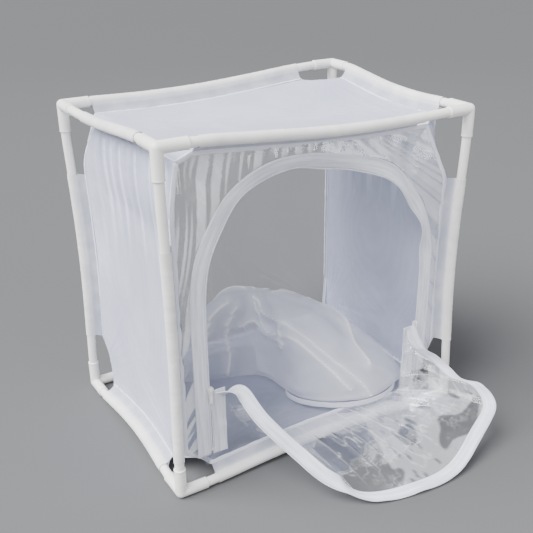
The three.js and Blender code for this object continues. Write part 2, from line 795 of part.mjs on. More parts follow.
function slider(sign) {
  const x = sign * chainCentre;
  const wedge = box(
    onFront(x, sliderHeight + sliderLength / 4),
    vec(sliderWedge, 2 * sliderPlateOffset, sliderLength / 3),
  );
  const post = (end) =>
    box(
      vec(x, bailFoot - bailHeight / 2 + sliderPlate / 2, sliderHeight + end * (bailHalf - bailBar / 2)),
      vec(bailWidth, bailHeight + sliderPlate, bailBar),
    );
  const bar = box(vec(x, bailFoot - bailHeight, sliderHeight), vec(bailWidth, bailBar, 2 * bailHalf));
  return joined(
    sliderPlateGeometry(frontPlane - sliderPlateOffset, x),
    sliderPlateGeometry(frontPlane + sliderPlateOffset, x),
    wedge,
    post(-1),
    post(1),
    bar,
  );
}

// The pull tab hangs from its crossbar, which passes under the bail.
function pullTab(sign) {
  const top = pullThickness / 2;
  const shape = new THREE.Shape();
  shape.moveTo(-pullWidth / 2, top);
  shape.lineTo(-pullTip / 2, -pullLength + pullTip / 2);
  shape.quadraticCurveTo(-pullTip / 2, -pullLength, 0, -pullLength);
  shape.quadraticCurveTo(pullTip / 2, -pullLength, pullTip / 2, -pullLength + pullTip / 2);
  shape.lineTo(pullWidth / 2, top);
  const hole = new THREE.Path();
  hole.moveTo(-pullWindowWidth / 2, -top);
  hole.lineTo(-pullWindowWidth / 2, -pullWindow);
  hole.lineTo(pullWindowWidth / 2, -pullWindow);
  hole.lineTo(pullWindowWidth / 2, -top);
  shape.holes.push(hole);
  const tab = flatPlate(shape, pullThickness);
  return tab.translate(sign * chainCentre, pullAxisY, sliderHeight);
}

for (const sign of [-1, 1]) {
  place(`zipped_tape_${sideNames[sign]}`, zippedTape(sign), materials.tape);
  place(`zip_stop_${sideNames[sign]}`, zipStop(sign), materials.zip);
  place(`zip_slider_${sideNames[sign]}`, slider(sign), materials.zip);
  place(`zip_pull_${sideNames[sign]}`, pullTab(sign), materials.zip);
}

// Seam band: an oval ring, turned and tilted, that lies on the floor panel at the back and over the
// bottom rail at the front

const bandCentre = vec(bandOffset, frontPlane + bandSetback, 0);
const bandTilt = (bandTurn * Math.PI) / 180;

// A point of the band's middle line at an angle, its level going from the rail down to the floor panel.
function bandAt(angle) {
  const along = bandHalfLength * Math.cos(angle);
  const breadth = bandHalfBreadth * Math.sin(angle);
  const x = along * Math.cos(bandTilt) + breadth * Math.sin(bandTilt);
  const y = -along * Math.sin(bandTilt) + breadth * Math.cos(bandTilt);
  const point = bandCentre.clone().add(vec(x, y, 0));
  const back = Math.min(Math.max((point.y - frontPlane) / (2 * bandSetback), 0), 1);
  const floorLevel = floorHeight(point.x, point.y);
  point.z = bandFrontLevel + (floorLevel - bandFrontLevel) * smoothStep(back) + bandHeight / 2;
  return point;
}

// Height of the floor panel's upper face, as a bowl under its edges
function floorHeight(x, y) {
  const rim = bottomLevel + bagInset + netThickness + railBow;
  const middle = floorAt(1 / 2, 1 / 2).z + netThickness;
  const reach = Math.max(Math.abs(x) / halfWidth, Math.abs(y) / halfDepth);
  return middle + (rim - middle) * Math.min(reach, 1) ** 2;
}

const bandFrames = evenNodes(bandSteps).slice(0, -1).map((t) => {
  const angle = 2 * Math.PI * t;
  const step = 2 * Math.PI / bandSteps;
  const tangent = bandAt(angle + step).sub(bandAt(angle - step));
  const normal = vec(tangent.y, -tangent.x, 0).normalize();
  return { centre: bandAt(angle), across: axisZ, normal };
});
place("sleeve_seam_band", strip(bandFrames, bandHeight, bandThickness, true), materials.tape);

// Where the flap folds out of the front, from the left zip end to the right one: shares of the fold's
// half width, and of the height from the bottom seam to the open end of the zip
const foldShares = [
  [-1, 0.9], [-0.95, 0.74], [-0.85, 0.48], [-0.69, 0.22], [-0.48, 0.07], [-0.25, 0.02], [0, 0.015],
  [0.3, 0.015], [0.6, 0.015], [0.85, 0.02], [0.96, 0.08], [0.99, 0.4], [0.99, 0.68], [1, 0.9],
];
const foldCurve = new THREE.CatmullRomCurve3(
  foldShares.map(([x, z]) => vec(x, 0, z)),
  false,
  "centripetal",
);
const foldStep = (tapeThickness + filmThickness) / 2 + hemGap;

// A point of the fold for an upright of a given half width: its foot on the bottom seam, and itself.
function foldAt(u, width) {
  const share = foldCurve.getPoint(u);
  const low = bottomSeamAt(Math.sign(share.x) * Math.min(Math.abs(share.x), 1) * width);
  const level = low.z + share.z * (zipOpenHeight - low.z);
  const high = vec(low.x, low.y + (frontPlane - low.y) * Math.min(2 * share.z, 1), level);
  return { low, high };
}

// The film below the fold stays upright between the zipped tapes.
const foot = evenNodes(footCells).map((u) => {
  const { low, high } = foldAt(u, footHalfWidth);
  return evenNodes(footRows).map((v) => low.clone().lerp(high, v));
});
place("door_film_foot", sheet(foot, filmThickness), materials.film);

// The flap's free rim from the left zip end round to the right one: shares of the door's half width,
// of the height of the zip's open end and of the flap's reach
const rimShares = [
  [-0.83, 1.06, 0.045], [-0.78, 1.05, 0.065], [-0.71, 1.01, 0.11], [-0.635, 0.75, 0.28], [-0.465, 0.43, 0.5],
  [-0.33, 0.22, 0.71], [-0.13, 0.05, 0.9], [0.22, 0.03, 1], [0.56, 0.055, 1], [0.88, 0.24, 0.88],
  [1.1, 0.41, 0.76], [1.09, 0.545, 0.61], [1.035, 0.53, 0.42], [1.03, 0.575, 0.28], [0.97, 0.68, 0.2],
  [0.875, 0.8, 0.15], [0.845, 0.93, 0.095], [0.83, 1.06, 0.045],
];
const rimCurve = new THREE.CatmullRomCurve3(
  rimShares.map(([x, z, y]) => vec(x * doorHalfWidth, frontPlane - y * flapReach, z * zipOpenHeight)),
  false,
  "centripetal",
);

// The flap at a share of its rim: the fold point, the rim point, and the directions of its tape.
const rimEndShare = 0.008;
const ribs = evenNodes(rimCells).map((t) => {
  const u = rimEndShare + t * (1 - 2 * rimEndShare);
  const fold = foldAt(u, zippedEdge + tapeWidth / 4).high.addScaledVector(axisY, -foldStep);
  const rim = rimCurve.getPointAt(u);
  const across = rim.clone().sub(fold).normalize();
  const normal = rimCurve.getTangentAt(u).cross(across).normalize();
  return { t, fold, rim, across, normal };
});
const rimStrip = (inset, width, thickness) =>
  strip(
    ribs.map(({ rim, across, normal }) => ({
      centre: rim.clone().addScaledVector(across, -inset - width / 2),
      across,
      normal,
    })),
    width,
    thickness,
  );
place("flap_zip_tape", rimStrip(0, flapTapeWidth, tapeThickness), materials.tape);
place("flap_zip_coil", rimStrip(-coilWidth - coilSeatGap, coilWidth, coilThickness), materials.zip);

// The film reaches from the fold to the tape, crowned in the middle. Its ends stay clear of the zip.
const filmSkip = 2;
const flapFilm = ribs.slice(filmSkip, -filmSkip).map(({ t, fold, rim, across }) => {
  const edge = rim.clone().addScaledVector(across, -flapTapeWidth - hemGap);
  const crown = flapCrown * Math.sin(Math.PI * t);
  return evenNodes(flapRows).map((v) => {
    const point = fold.clone().lerp(edge, v);
    return point.addScaledVector(axisZ, crown * Math.sin(Math.PI * v));
  });
});
place("door_flap_film", sheet(flapFilm, filmThickness), materials.film);

// The net access sleeve, heaped on the floor panel behind the band

// Its foot as seen from above, as shares of the enclosure's half width and depth, and its height between
// the floor panel, 0, and the band's upper edge, 1
const heapFootShares = [
  [0.74, -0.87, 1], [0.785, -0.62, 0.4], [0.755, -0.35, 0], [0.66, -0.06, 0], [0.5, 0.24, 0], [0.3, 0.5, 0],
  [0.08, 0.66, 0], [-0.2, 0.72, 0], [-0.44, 0.66, 0], [-0.56, 0.52, 0], [-0.54, 0.37, 0], [-0.41, 0.27, 0],
  [-0.2, 0.19, 0], [-0.04, 0.02, 0.3],
];
// Where the heap stands highest, in the same shares
const heapPeakShare = [0.03, 0.2];
const heapPeak = vec(heapPeakShare[0] * halfWidth, heapPeakShare[1] * halfDepth, 0);
// The band's part that the net rises from, as angles in turns from its right end
const heapBandShares = [0.52, 0.57, 0.63, 0.69, 0.75, 0.81, 0.87, 0.92];
const heapFoot = new THREE.CatmullRomCurve3(
  [
    ...heapFootShares.map(([x, y, lift]) => {
      const point = vec(x * halfWidth, y * halfDepth, 0);
      const floor = floorHeight(point.x, point.y) + netThickness;
      return point.setZ(floor + lift * (bandFrontLevel + bandHeight + hemGap + netThickness - floor));
    }),
    ...heapBandShares.map((turn) => {
      const point = bandAt(2 * Math.PI * turn);
      return point.setZ(point.z + bandHeight / 2 + netThickness + hemGap);
    }),
  ],
  true,
  "centripetal",
);

// The net's rise towards its peak is fuller on the left, where it folds over, than on the right.
const heapFullnessShare = 2.6;
const heapLeanShare = 0.9;
const heapSoftnessShare = 0.8;
const heapOpeningShare = 0.05;
const heapNodes = evenNodes(heapRows);
const heap = evenNodes(heapCells).slice(0, -1).map((u) => {
  const base = heapFoot.getPointAt(u);
  const towards = Math.atan2(base.y - heapPeak.y, base.x - heapPeak.x);
  const fullness = heapFullnessShare - heapLeanShare * Math.cos(towards);
  const fold = heapFoldDepth * Math.sin(2 * Math.PI * heapFolds * u);
  return heapNodes.map((v) => {
    const spread = heapOpeningShare + (1 - heapOpeningShare) * v;
    const point = heapPeak.clone().lerp(base, spread);
    const rise = Math.max(1 - spread ** fullness, 0) ** heapSoftnessShare;
    const crease = fold * Math.sin(Math.PI * spread) * spread;
    return point.setZ(base.z + (heapHeight - base.z) * rise + crease);
  });
});
place("access_sleeve", sheet(heap, netThickness, true), materials.net);

// The origin is at the middle of the whole part, on the floor.
const extent = new THREE.Box3().setFromObject(assembly);
const middle = extent.getCenter(vec(0, 0, 0));
assembly.position.set(-middle.x, -middle.y, -extent.min.z);

export default assembly;
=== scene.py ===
"""Looks of a free-standing butterfly enclosure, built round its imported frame.

White push-fit pipes carry a sewn cover of fine net and clear film. The front has an arched zip door, shown
unzipped and folded forward, and a net access sleeve lies heaped on the floor panel. Sizes are in metres.
"""

import math

import bpy
import numpy as np
from bpy.props import FloatProperty, FloatVectorProperty, PointerProperty
from bpy.types import Operator, Panel, PropertyGroup
from mathutils import Matrix, Vector, noise
from mathutils.bvhtree import BVHTree


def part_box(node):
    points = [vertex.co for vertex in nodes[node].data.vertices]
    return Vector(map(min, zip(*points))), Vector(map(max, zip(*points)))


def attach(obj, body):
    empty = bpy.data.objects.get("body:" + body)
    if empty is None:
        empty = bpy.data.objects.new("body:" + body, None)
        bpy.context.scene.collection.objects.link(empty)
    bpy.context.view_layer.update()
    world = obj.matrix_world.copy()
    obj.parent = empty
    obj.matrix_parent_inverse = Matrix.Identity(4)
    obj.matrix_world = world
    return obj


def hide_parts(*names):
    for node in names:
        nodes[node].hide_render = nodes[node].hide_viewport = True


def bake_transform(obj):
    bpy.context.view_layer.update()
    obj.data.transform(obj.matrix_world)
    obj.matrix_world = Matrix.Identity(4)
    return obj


bl_info = {
    "name": "Butterfly Enclosure",
    "version": (1, 0, 0),
    "blender": (4, 5, 0),
    "location": "3D View > Sidebar > Enclosure",
    "description": "Pipe-framed net and film enclosure with an arched zip door and a net access sleeve",
    "category": "Add Mesh",
}

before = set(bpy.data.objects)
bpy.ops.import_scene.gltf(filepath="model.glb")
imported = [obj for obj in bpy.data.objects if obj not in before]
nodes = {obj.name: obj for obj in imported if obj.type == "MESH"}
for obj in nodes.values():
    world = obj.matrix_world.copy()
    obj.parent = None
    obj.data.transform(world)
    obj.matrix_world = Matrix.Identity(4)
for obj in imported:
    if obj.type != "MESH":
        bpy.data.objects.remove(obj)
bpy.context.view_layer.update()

RAILS = [f"{level}_{edge}" for level in ("top", "bottom") for edge in ("front", "back", "left", "right")]
POSTS = ["front_left", "front_right", "back_left", "back_right"]


# Sizes and colours


def length(name, description, default):
    """A length in metres."""
    return FloatProperty(name=name, description=description, default=default, unit="LENGTH", precision=4)


def share(name, description, default):
    """A number without a unit."""
    return FloatProperty(name=name, description=description, default=default, precision=3)


def colour(name, description, default):
    """A colour of a finish."""
    return FloatVectorProperty(name=name, description=description, default=default, subtype="COLOR", size=3)


class FrameSizes(PropertyGroup):
    """Sizes of the pipes and corner fittings."""

    pipe_diameter: length("Pipe", "Outer diameter of the pipes", 0.016)
    fitting_diameter: length("Fitting", "Outer diameter of the corner fittings", 0.020)
    mouth_bead: length("Mouth bead", "Height of the bead round each socket's mouth", 0.0003)
    mouth_width: length("Mouth width", "Width of that bead", 0.0025)


class CoverSizes(PropertyGroup):
    """Sizes of the sewn cover."""

    seam_inset: length("Seam inset", "Distance of a seam from its pipe's axis, each way", 0.018)
    sleeve_gap: length("Sleeve gap", "Gap between a pipe and the cloth round it", 0.0009)
    flange: length("Flange", "Distance between a sleeve's two layers at the seam", 0.0010)
    binding: length("Binding", "Width of the bound seams", 0.0052)
    front_binding: length("Front binding", "Width of the bound seams round the front film", 0.0085)
    pucker_pitch: length("Pucker pitch", "Distance between the puckers along a seam", 0.011)
    pucker_depth: length("Pucker depth", "Depth of the puckers", 0.0007)
    pleat_pitch: length("Pleat pitch", "Distance between the pleats below the top rails", 0.038)
    pleat_depth: length("Pleat depth", "Depth of those pleats", 0.0058)
    pleat_length: length("Pleat length", "How far down the pleats reach", 0.115)
    streak_depth: length("Streak depth", "Depth of the drawn streaks in the front film", 0.0032)
    floor_sag: length("Floor sag", "Sag of the floor panel", 0.012)
    top_sag: length("Top sag", "Sag of the top panel", 0.004)


class DoorSizes(PropertyGroup):
    """Sizes of the door, its zip and its flap."""

    springing: length("Springing", "Height at which the door's arch starts", 0.330)
    tape_width: length("Tape", "Width of the door's zip tape", 0.025)
    flap_tape_width: length("Flap tape", "Width of the flap's zip tape", 0.022)
    tape_thickness: length("Tape thickness", "Thickness of the zip tapes", 0.0008)
    coil: length("Coil", "Width of the zip's coil", 0.0024)
    wave: length("Wave", "How far the door's free tape edge waves", 0.0058)
    flap_reach: length("Flap reach", "How far the open flap reaches forward", 0.225)
    flap_crown: length("Flap crown", "Rise of the flap's film between fold and rim", 0.012)
    crinkle: length("Crinkle", "Depth of the creases in the flap's film", 0.0045)


class Finishes(PropertyGroup):
    """Colours of the finishes."""

    plastic: colour("Plastic", "Moulded and extruded white plastic", (0.90, 0.89, 0.865))
    # The sleeve cloth's colour is a painted shade: the same cloth as the binding, made darker where it stands
    # off the pipe in the flange.
    cloth: colour("Cloth", "Sleeve cloth where it stands off the pipe", (0.44, 0.45, 0.56))
    binding: colour("Binding", "Bound seams", (0.80, 0.82, 0.94))
    net: colour("Net", "Fine white net", (0.52, 0.55, 0.72))
    tulle: colour("Tulle", "Thin net of the access sleeve", (0.82, 0.84, 0.97))
    # Where a veil covers the film its colour shows: partly the film's own milkiness, partly a painted
    # reflection.
    film: colour("Film", "Clear soft film", (0.90, 0.92, 0.98))
    tape: colour("Tape", "Woven zip tape", (0.84, 0.86, 0.97))
    floor: colour("Floor", "Studio floor", (0.116, 0.118, 0.122))


class StudioSizes(PropertyGroup):
    """The camera."""

    lens: FloatProperty(name="Lens", description="Focal length of the camera", default=54.24, unit="CAMERA")
    shift: share("Shift", "Sideways and upward shift of the picture", 0.0375)
    azimuth: FloatProperty(name="Azimuth", description="Camera's direction round the object",
                           default=math.radians(-32.041), subtype="ANGLE")
    elevation: FloatProperty(name="Elevation", description="Camera's height above level",
                             default=math.radians(25.241), subtype="ANGLE")
    roll: FloatProperty(name="Roll", description="Camera's turn about its own axis",
                        default=math.radians(-0.145), subtype="ANGLE")
    place: FloatVectorProperty(name="Place", description="Camera's place from the middle of the frame",
                               default=(-0.7073, -1.2051, 0.8937), subtype="TRANSLATION", size=3)


GROUPS = {
    "enclosure_frame": FrameSizes,
    "enclosure_cover": CoverSizes,
    "enclosure_door": DoorSizes,
    "enclosure_finish": Finishes,
    "enclosure_studio": StudioSizes,
}


def settings(name):
    """One of the scene's groups of sizes."""
    return getattr(bpy.context.scene, f"enclosure_{name}")


# Shading

THREAD_PITCH = 0.0011
THIN_THREAD_PITCH = 0.0010
RIB_PITCH = 0.0016
ROW_PITCH = 0.0022
STITCH_PITCH = 0.0034
# A stitch line's distance from its tape's edge, and half its width
STITCH_INSET = 0.0045
STITCH_HALF_WIDTH = 0.0006
TOOTH_PITCH = 0.0024


class Value:
    """A value in a material, with the arithmetic of its Math nodes."""

    def __init__(self, finish, socket):
        self.finish = finish
        self.socket = socket

    def maths(self, operation, *others):
        """A Math node on this value and others."""
        return self.finish.node("ShaderNodeMath", {"operation": operation}, dict(enumerate((self, *others))))

    def flipped(self, operation, other):
        """The same with this value second."""
        return self.finish.node("ShaderNodeMath", {"operation": operation}, {0: other, 1: self})

    def __add__(self, other):
        return self.maths("ADD", other)

    def __sub__(self, other):
        return self.maths("SUBTRACT", other)

    def __rsub__(self, other):
        return self.flipped("SUBTRACT", other)

    def __mul__(self, other):
        return self.maths("MULTIPLY", other)

    def __truediv__(self, other):
        return self.maths("DIVIDE", other)

    def __pow__(self, other):
        return self.maths("POWER", other)

    __radd__ = __add__
    __rmul__ = __mul__

    def sine(self):
        """Its sine."""
        return self.maths("SINE")

    def size(self):
        """Its absolute value."""
        return self.maths("ABSOLUTE")

    def least(self, other):
        """The smaller of two values."""
        return self.maths("MINIMUM", other)

    def most(self, other):
        """The larger of two values."""
        return self.maths("MAXIMUM", other)

    def wave(self, pitch):
        """A wave from 0 to 1 along this value."""
        return (self * (2 * math.pi / pitch)).sine() * 0.5 + 0.5

    def between(self, low, high):
        """0 below low, 1 above high and smooth between them."""
        kinds = {"interpolation_type": "SMOOTHSTEP"}
        return self.finish.node("ShaderNodeMapRange", kinds, {0: self, 1: low, 2: high})


class Finish:
    """A material under construction."""

    def __init__(self, name):
        self.material = bpy.data.materials.new(name)
        self.material.use_nodes = True
        self.tree = self.material.node_tree
        self.surface = self.tree.nodes["Principled BSDF"]

    def node(self, kind, states=None, sockets=None, output=0):
        """A node of a kind, with its settings and its sockets' values or links, as one of its outputs."""
        made = self.tree.nodes.new(kind)
        for key, value in (states or {}).items():
            setattr(made, key, value)
        for key, value in (sockets or {}).items():
            self.feed(made.inputs[key], value)
        return Value(self, made.outputs[output])

    def feed(self, socket, value):
        """Links a value to a socket, or sets the socket."""
        if isinstance(value, Value):
            self.tree.links.new(value.socket, socket)
        else:
            socket.default_value = value

    def set(self, **sockets):
        """Feeds the surface shader's sockets, named with underscores for spaces."""
        for key, value in sockets.items():
            self.feed(self.surface.inputs[key.replace("_", " ")], value)

    def place(self, scale=(1, 1, 1)):
        """The place on the object, scaled."""
        here = self.node("ShaderNodeTexCoord", output="Object")
        return self.node("ShaderNodeMapping", None, {"Vector": here, "Scale": scale})

    def noise(self, scale, detail=2.0, stretch=(1, 1, 1), rough=0.5):
        """Smooth noise from 0 to 1."""
        sockets = {"Vector": self.place(stretch), "Scale": scale, "Detail": detail, "Roughness": rough}
        return self.node("ShaderNodeTexNoise", None, sockets)

    def attribute(self, name):
        """A value kept on the mesh's points."""
        return self.node("ShaderNodeAttribute", {"attribute_name": name}, output="Fac")

    def waves(self, name, pitch):
        """A wave from 0 to 1 along one of the mesh's own lengths."""
        return self.attribute(name).wave(pitch)

    def mixed(self, factor, first, second):
        """A colour between two colours."""
        sockets = {0: factor, 6: (*first, 1), 7: (*second, 1)}
        return self.node("ShaderNodeMix", {"data_type": "RGBA"}, sockets, output=2)

    def bump(self, height, distance, strength=1.0):
        """A normal that stands and falls with height."""
        sockets = {"Height": height, "Distance": distance, "Strength": strength}
        return self.node("ShaderNodeBump", None, sockets)

    def veil(self, cover, clear=None):
        """Mixes the surface shader by a cover from 0 to 1 with what shows through it."""
        clear = clear or self.node("ShaderNodeBsdfTransparent")
        solid = Value(self, self.surface.outputs[0])
        mix = self.node("ShaderNodeMixShader", None, {0: cover, 1: clear, 2: solid})
        self.feed(self.tree.nodes["Material Output"].inputs["Surface"], mix)


def tint(value, factor):
    """A colour made lighter or darker."""
    return tuple(min(channel * factor, 1.0) for channel in value)


def plastic_finish(name, roughness, grain):
    """White plastic with faint flow marks and a slight wear of its gloss."""
    base = settings("finish").plastic
    finish = Finish(name)
    flow = finish.noise(38, 4, grain)
    scuff = finish.noise(420, 3)
    finish.set(
        Base_Color=finish.mixed(flow.between(0.35, 0.7), tint(base, 0.95), tint(base, 1.03)),
        Roughness=scuff * 0.16 + (roughness - 0.08),
        Normal=finish.bump(flow * 0.7 + scuff * 0.3, 0.0006, 0.25),
        IOR=1.46,
        Subsurface_Weight=0.12,
        Subsurface_Radius=(0.006, 0.006, 0.007),
        Subsurface_Scale=0.4,
    )
    return finish.material


def weave(finish, pitch):
    """Crossed threads, 1 on a thread and 0 in a hole."""
    split = finish.node("ShaderNodeSeparateXYZ", None, {0: finish.place()}).socket.node
    threads = [Value(finish, split.outputs[k]).wave(pitch) for k in range(3)]
    return threads[0] * threads[1] + threads[1] * threads[2] + threads[2] * threads[0]


def net_finish(name, base, cover, pitch=THREAD_PITCH, spread=0.04):
    """Fine net: its cover changes with the weave, with soft clouds and along each crest kept as fold, where
    it lies folded on itself or stands out; there its colour is also painted lighter, a painted highlight.
    """
    finish = Finish(name)
    threads = weave(finish, pitch)
    clouds = finish.noise(9, 3)
    folded = finish.attribute("fold")
    # Random clouds lighten the colour a little, and each crest kept as fold is painted lighter: a painted
    # highlight.
    clouds_and_crest_highlight = (clouds.between(0.3, 0.7) * 0.18 + folded).least(1.0)
    finish.set(
        Base_Color=finish.mixed(clouds_and_crest_highlight, tint(base, 0.94), tint(base, 1.55)),
        Roughness=0.86,
        Normal=finish.bump(threads, 0.0002, 0.05),
        Sheen_Weight=0.25,
        Sheen_Roughness=0.5,
        IOR=1.4,
    )
    finish.veil((threads * spread + clouds * 0.06 + (cover - spread / 2) + folded * 0.6).least(0.97))
    return finish.material


def cloth_finish(name, base, cover):
    """Sleeve cloth and bindings: whiter and closer where the cloth lies on a pipe than in its flange. On the
    sleeves the colour off the pipe is a painted shade of the flange.
    """
    finish = Finish(name)
    threads = weave(finish, THREAD_PITCH)
    soil = finish.noise(30, 3)
    laid = finish.attribute("laid")
    # Shade mixes the base colour, a painted shade on the sleeves, towards the plastic's white where the cloth
    # lies on its pipe, with random blotches.
    shade = (soil.between(0.3, 0.75) * 0.3 + laid * 0.7).least(1.0)
    finish.set(
        Base_Color=finish.mixed(shade, base, settings("finish").plastic),
        Roughness=0.82,
        Normal=finish.bump(threads, 0.0002, 0.06),
        Sheen_Weight=0.3,
        IOR=1.42,
    )
    finish.veil((threads * 0.03 + laid * (0.97 - cover) + (cover - 0.015)).least(0.98))
    return finish.material


def film_finish(name, haze, creases, streak_milkiness_and_reflection=0.5, crumple=0.5, shine=1.0):
    """Clear soft film: glossy, nearly clear between its creases and whiter along them, partly the film's own
    milkiness and partly a painted reflection.
    """
    base = settings("finish").film
    finish = Finish(name)
    broad = finish.noise(7, 3, rough=0.6)
    sharp = finish.noise(30, 4, (1, 1, 0.4), 0.6)
    ridge = 1 - ((sharp - 0.5) * 2).size()
    crease = (ridge ** 26) * creases * broad.between(0.45, 0.7)
    drawn = finish.attribute("fold")
    normal = finish.bump(sharp * 0.5 + broad * 0.5, 0.006, crumple)
    finish.set(Base_Color=(*base, 1), Roughness=broad * 0.2 + 0.25, Normal=normal, IOR=1.5)
    clear = finish.node("ShaderNodeBsdfTransparent")
    gloss_sockets = {"Color": (0.93, 0.95, 1.0, 1), "Roughness": broad * 0.08 + 0.04, "Normal": normal}
    gloss = finish.node("ShaderNodeBsdfAnisotropic", None, gloss_sockets)
    sheen = finish.node("ShaderNodeFresnel", None, {"IOR": 1.6, "Normal": normal})
    glazed = finish.node("ShaderNodeMixShader", None, {0: sheen * shine, 1: clear, 2: gloss})
    # The white veil along creases and drawn streaks is partly the film's own milkiness and partly a painted
    # reflection.
    finish.veil((crease * 0.5 + drawn * streak_milkiness_and_reflection + haze).least(0.9), glazed)
    return finish.material


def tape_finish(name):
    """Woven zip tape: fine ribs across it, stitch lines along both edges."""
    base = settings("finish").tape
    finish = Finish(name)
    ribs = finish.waves("along", RIB_PITCH)
    rows = finish.waves("across", ROW_PITCH)
    place = finish.attribute("edge")
    stitch = (1 - ((place - STITCH_INSET) / STITCH_HALF_WIDTH).size()).most(0.0)
    dashes = finish.waves("along", STITCH_PITCH).between(0.3, 0.5)
    soft = finish.noise(60, 3)
    lengths = {0: finish.attribute("across"), 1: finish.attribute("along") * 0.06}
    lie = finish.node("ShaderNodeCombineXYZ", None, lengths)
    pulled = finish.node("ShaderNodeTexNoise", None, {"Vector": lie, "Scale": 170.0}).between(0.35, 0.7)
    height = ribs * 0.4 + rows * 0.2 + soft * 0.4 + pulled * 1.2 - stitch * 0.8
    shade = (stitch * dashes + pulled * 0.55).least(1.0)
    finish.set(
        Base_Color=finish.mixed(shade, tint(base, 1.04), tint(base, 0.84)),
        Roughness=0.78,
        Normal=finish.bump(height, 0.0005, 0.6),
        Sheen_Weight=0.3,
        IOR=1.42,
    )
    finish.veil((ribs * 0.05 + soft * 0.12 - pulled * 0.16 + 0.84).least(1.0))
    return finish.material


def coil_finish(name):
    """Moulded coil: close rounded ribs across it."""
    base = settings("finish").tape
    finish = Finish(name)
    teeth_and_groove_shade = finish.waves("along", TOOTH_PITCH)
    finish.set(
        # Each groove is painted darker and each tooth top lighter: painted shade and highlight, besides the
        # bump.
        Base_Color=finish.mixed(teeth_and_groove_shade, tint(base, 0.86), tint(base, 1.05)),
        Roughness=teeth_and_groove_shade * 0.1 + 0.34,
        Normal=finish.bump(teeth_and_groove_shade, 0.0008, 0.9),
        IOR=1.46,
    )
    return finish.material


def floor_finish(name):
    """Plain pale studio floor."""
    base = settings("finish").floor
    finish = Finish(name)
    mottle = finish.noise(0.8, 2)
    finish.set(
        Base_Color=finish.mixed(mottle, tint(base, 0.985), tint(base, 1.015)), Roughness=0.7, IOR=1.3
    )
    return finish.material


finishes = {}


def finish_of(name):
    """The material of a finish, made when it is first asked for."""
    if name in finishes:
        return finishes[name]
    colours = settings("finish")
    makers = {
        "moulded_plastic": lambda: plastic_finish(name, 0.38, (1, 1, 1)),
        "extruded_plastic": lambda: plastic_finish(name, 0.42, (0.4, 0.4, 0.4)),
        "white_net": lambda: net_finish(name, colours.net, 0.84),
        # The floor net is the same net painted darker, a painted shade for the floor panel in shadow, and
        # thinner so the floor shows through.
        "shaded_floor_net": lambda: net_finish(name, tint(colours.net, 0.8), 0.62),
        "tulle": lambda: net_finish(name, colours.tulle, 0.36, THIN_THREAD_PITCH, 0.012),
        "band_net": lambda: net_finish(name, colours.tulle, 0.62, THIN_THREAD_PITCH, 0.02),
        "pipe_cloth": lambda: cloth_finish(name, colours.cloth, 0.82),
        "binding_cloth": lambda: cloth_finish(name, colours.binding, 0.96),
        "back_film": lambda: film_finish(name, 0.03, 0.25, 0.5, 0.2),
        "drawn_film": lambda: film_finish(name, 0.04, 0.35, 0.8, 0.14),
        "crinkled_film": lambda: film_finish(name, 0.01, 0.4, 0.6, 0.12, 0.55),
        "ribbed_tape": lambda: tape_finish(name),
        "zip_coil": lambda: coil_finish(name),
        "studio_floor": lambda: floor_finish(name),
    }
    finishes[name] = makers[name]()
    return finishes[name]


# Meshes


def points_of(node):
    """The points of a CAD node."""
    mesh = nodes[node].data
    flat = np.zeros(len(mesh.vertices) * 3, np.float32)
    mesh.vertices.foreach_get("co", flat)
    return flat.reshape(-1, 3).astype(float)


def tree_of(node):
    """A CAD node's faces, for rays."""
    mesh = nodes[node].data
    return BVHTree.FromPolygons([v.co for v in mesh.vertices], [p.vertices for p in mesh.polygons])


def added(name, data):
    """A new object in the scene."""
    item = bpy.data.objects.new(name, data)
    bpy.context.scene.collection.objects.link(item)
    return item


def mesh_piece(name, points, faces, finish, body="root", values=None):
    """A piece of the object from points and faces, with values kept on its points."""
    mesh = bpy.data.meshes.new(name)
    mesh.from_pydata([tuple(p) for p in points], [], [tuple(int(i) for i in f) for f in faces])
    mesh.validate()
    for key, kept in (values or {}).items():
        attribute = mesh.attributes.new(key, "FLOAT", "POINT")
        attribute.data.foreach_set("value", np.ravel(kept).astype(np.float32))
    mesh.polygons.foreach_set("use_smooth", [True] * len(mesh.polygons))
    piece = added(name, mesh)
    mesh.materials.append(finish_of(finish))
    if body:
        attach(piece, body)
    return piece


def grid_faces(rows, columns, round_rows=False, round_columns=False):
    """Quads between the points of a grid."""
    i, j = np.meshgrid(
        np.arange(rows if round_rows else rows - 1),
        np.arange(columns if round_columns else columns - 1),
        indexing="ij",
    )
    i, j = i.ravel(), j.ravel()
    k, m = (i + 1) % rows, (j + 1) % columns
    return np.stack([i * columns + j, k * columns + j, k * columns + m, i * columns + m], axis=1)


def capped_faces(rows, sides, first=0):
    """Faces of a tube of rings whose points start at a number, closed at both ends."""
    faces = (grid_faces(rows, sides, round_columns=True) + first).tolist()
    faces.append(list(range(first, first + sides)))
    faces.append(list(range(first + rows * sides - 1, first + (rows - 1) * sides - 1, -1)))
    return faces


def grid_piece(name, grid, finish, body="root", values=None, round_rows=False):
    """A piece from a grid of points."""
    rows, columns = grid.shape[:2]
    faces = grid_faces(rows, columns, round_rows)
    kept = {"fold": np.zeros((rows, columns)), **(values or {})}
    return mesh_piece(name, grid.reshape(-1, 3), faces, finish, body, kept)


def grid_area(grid):
    """Area of a grid's quads."""
    a, b, c, d = grid[:-1, :-1], grid[1:, :-1], grid[1:, 1:], grid[:-1, 1:]
    return float(np.linalg.norm(np.cross(c - a, d - b), axis=2).sum() / 2)


def unit(vectors):
    """Vectors at length 1."""
    return vectors / np.linalg.norm(vectors, axis=-1, keepdims=True)


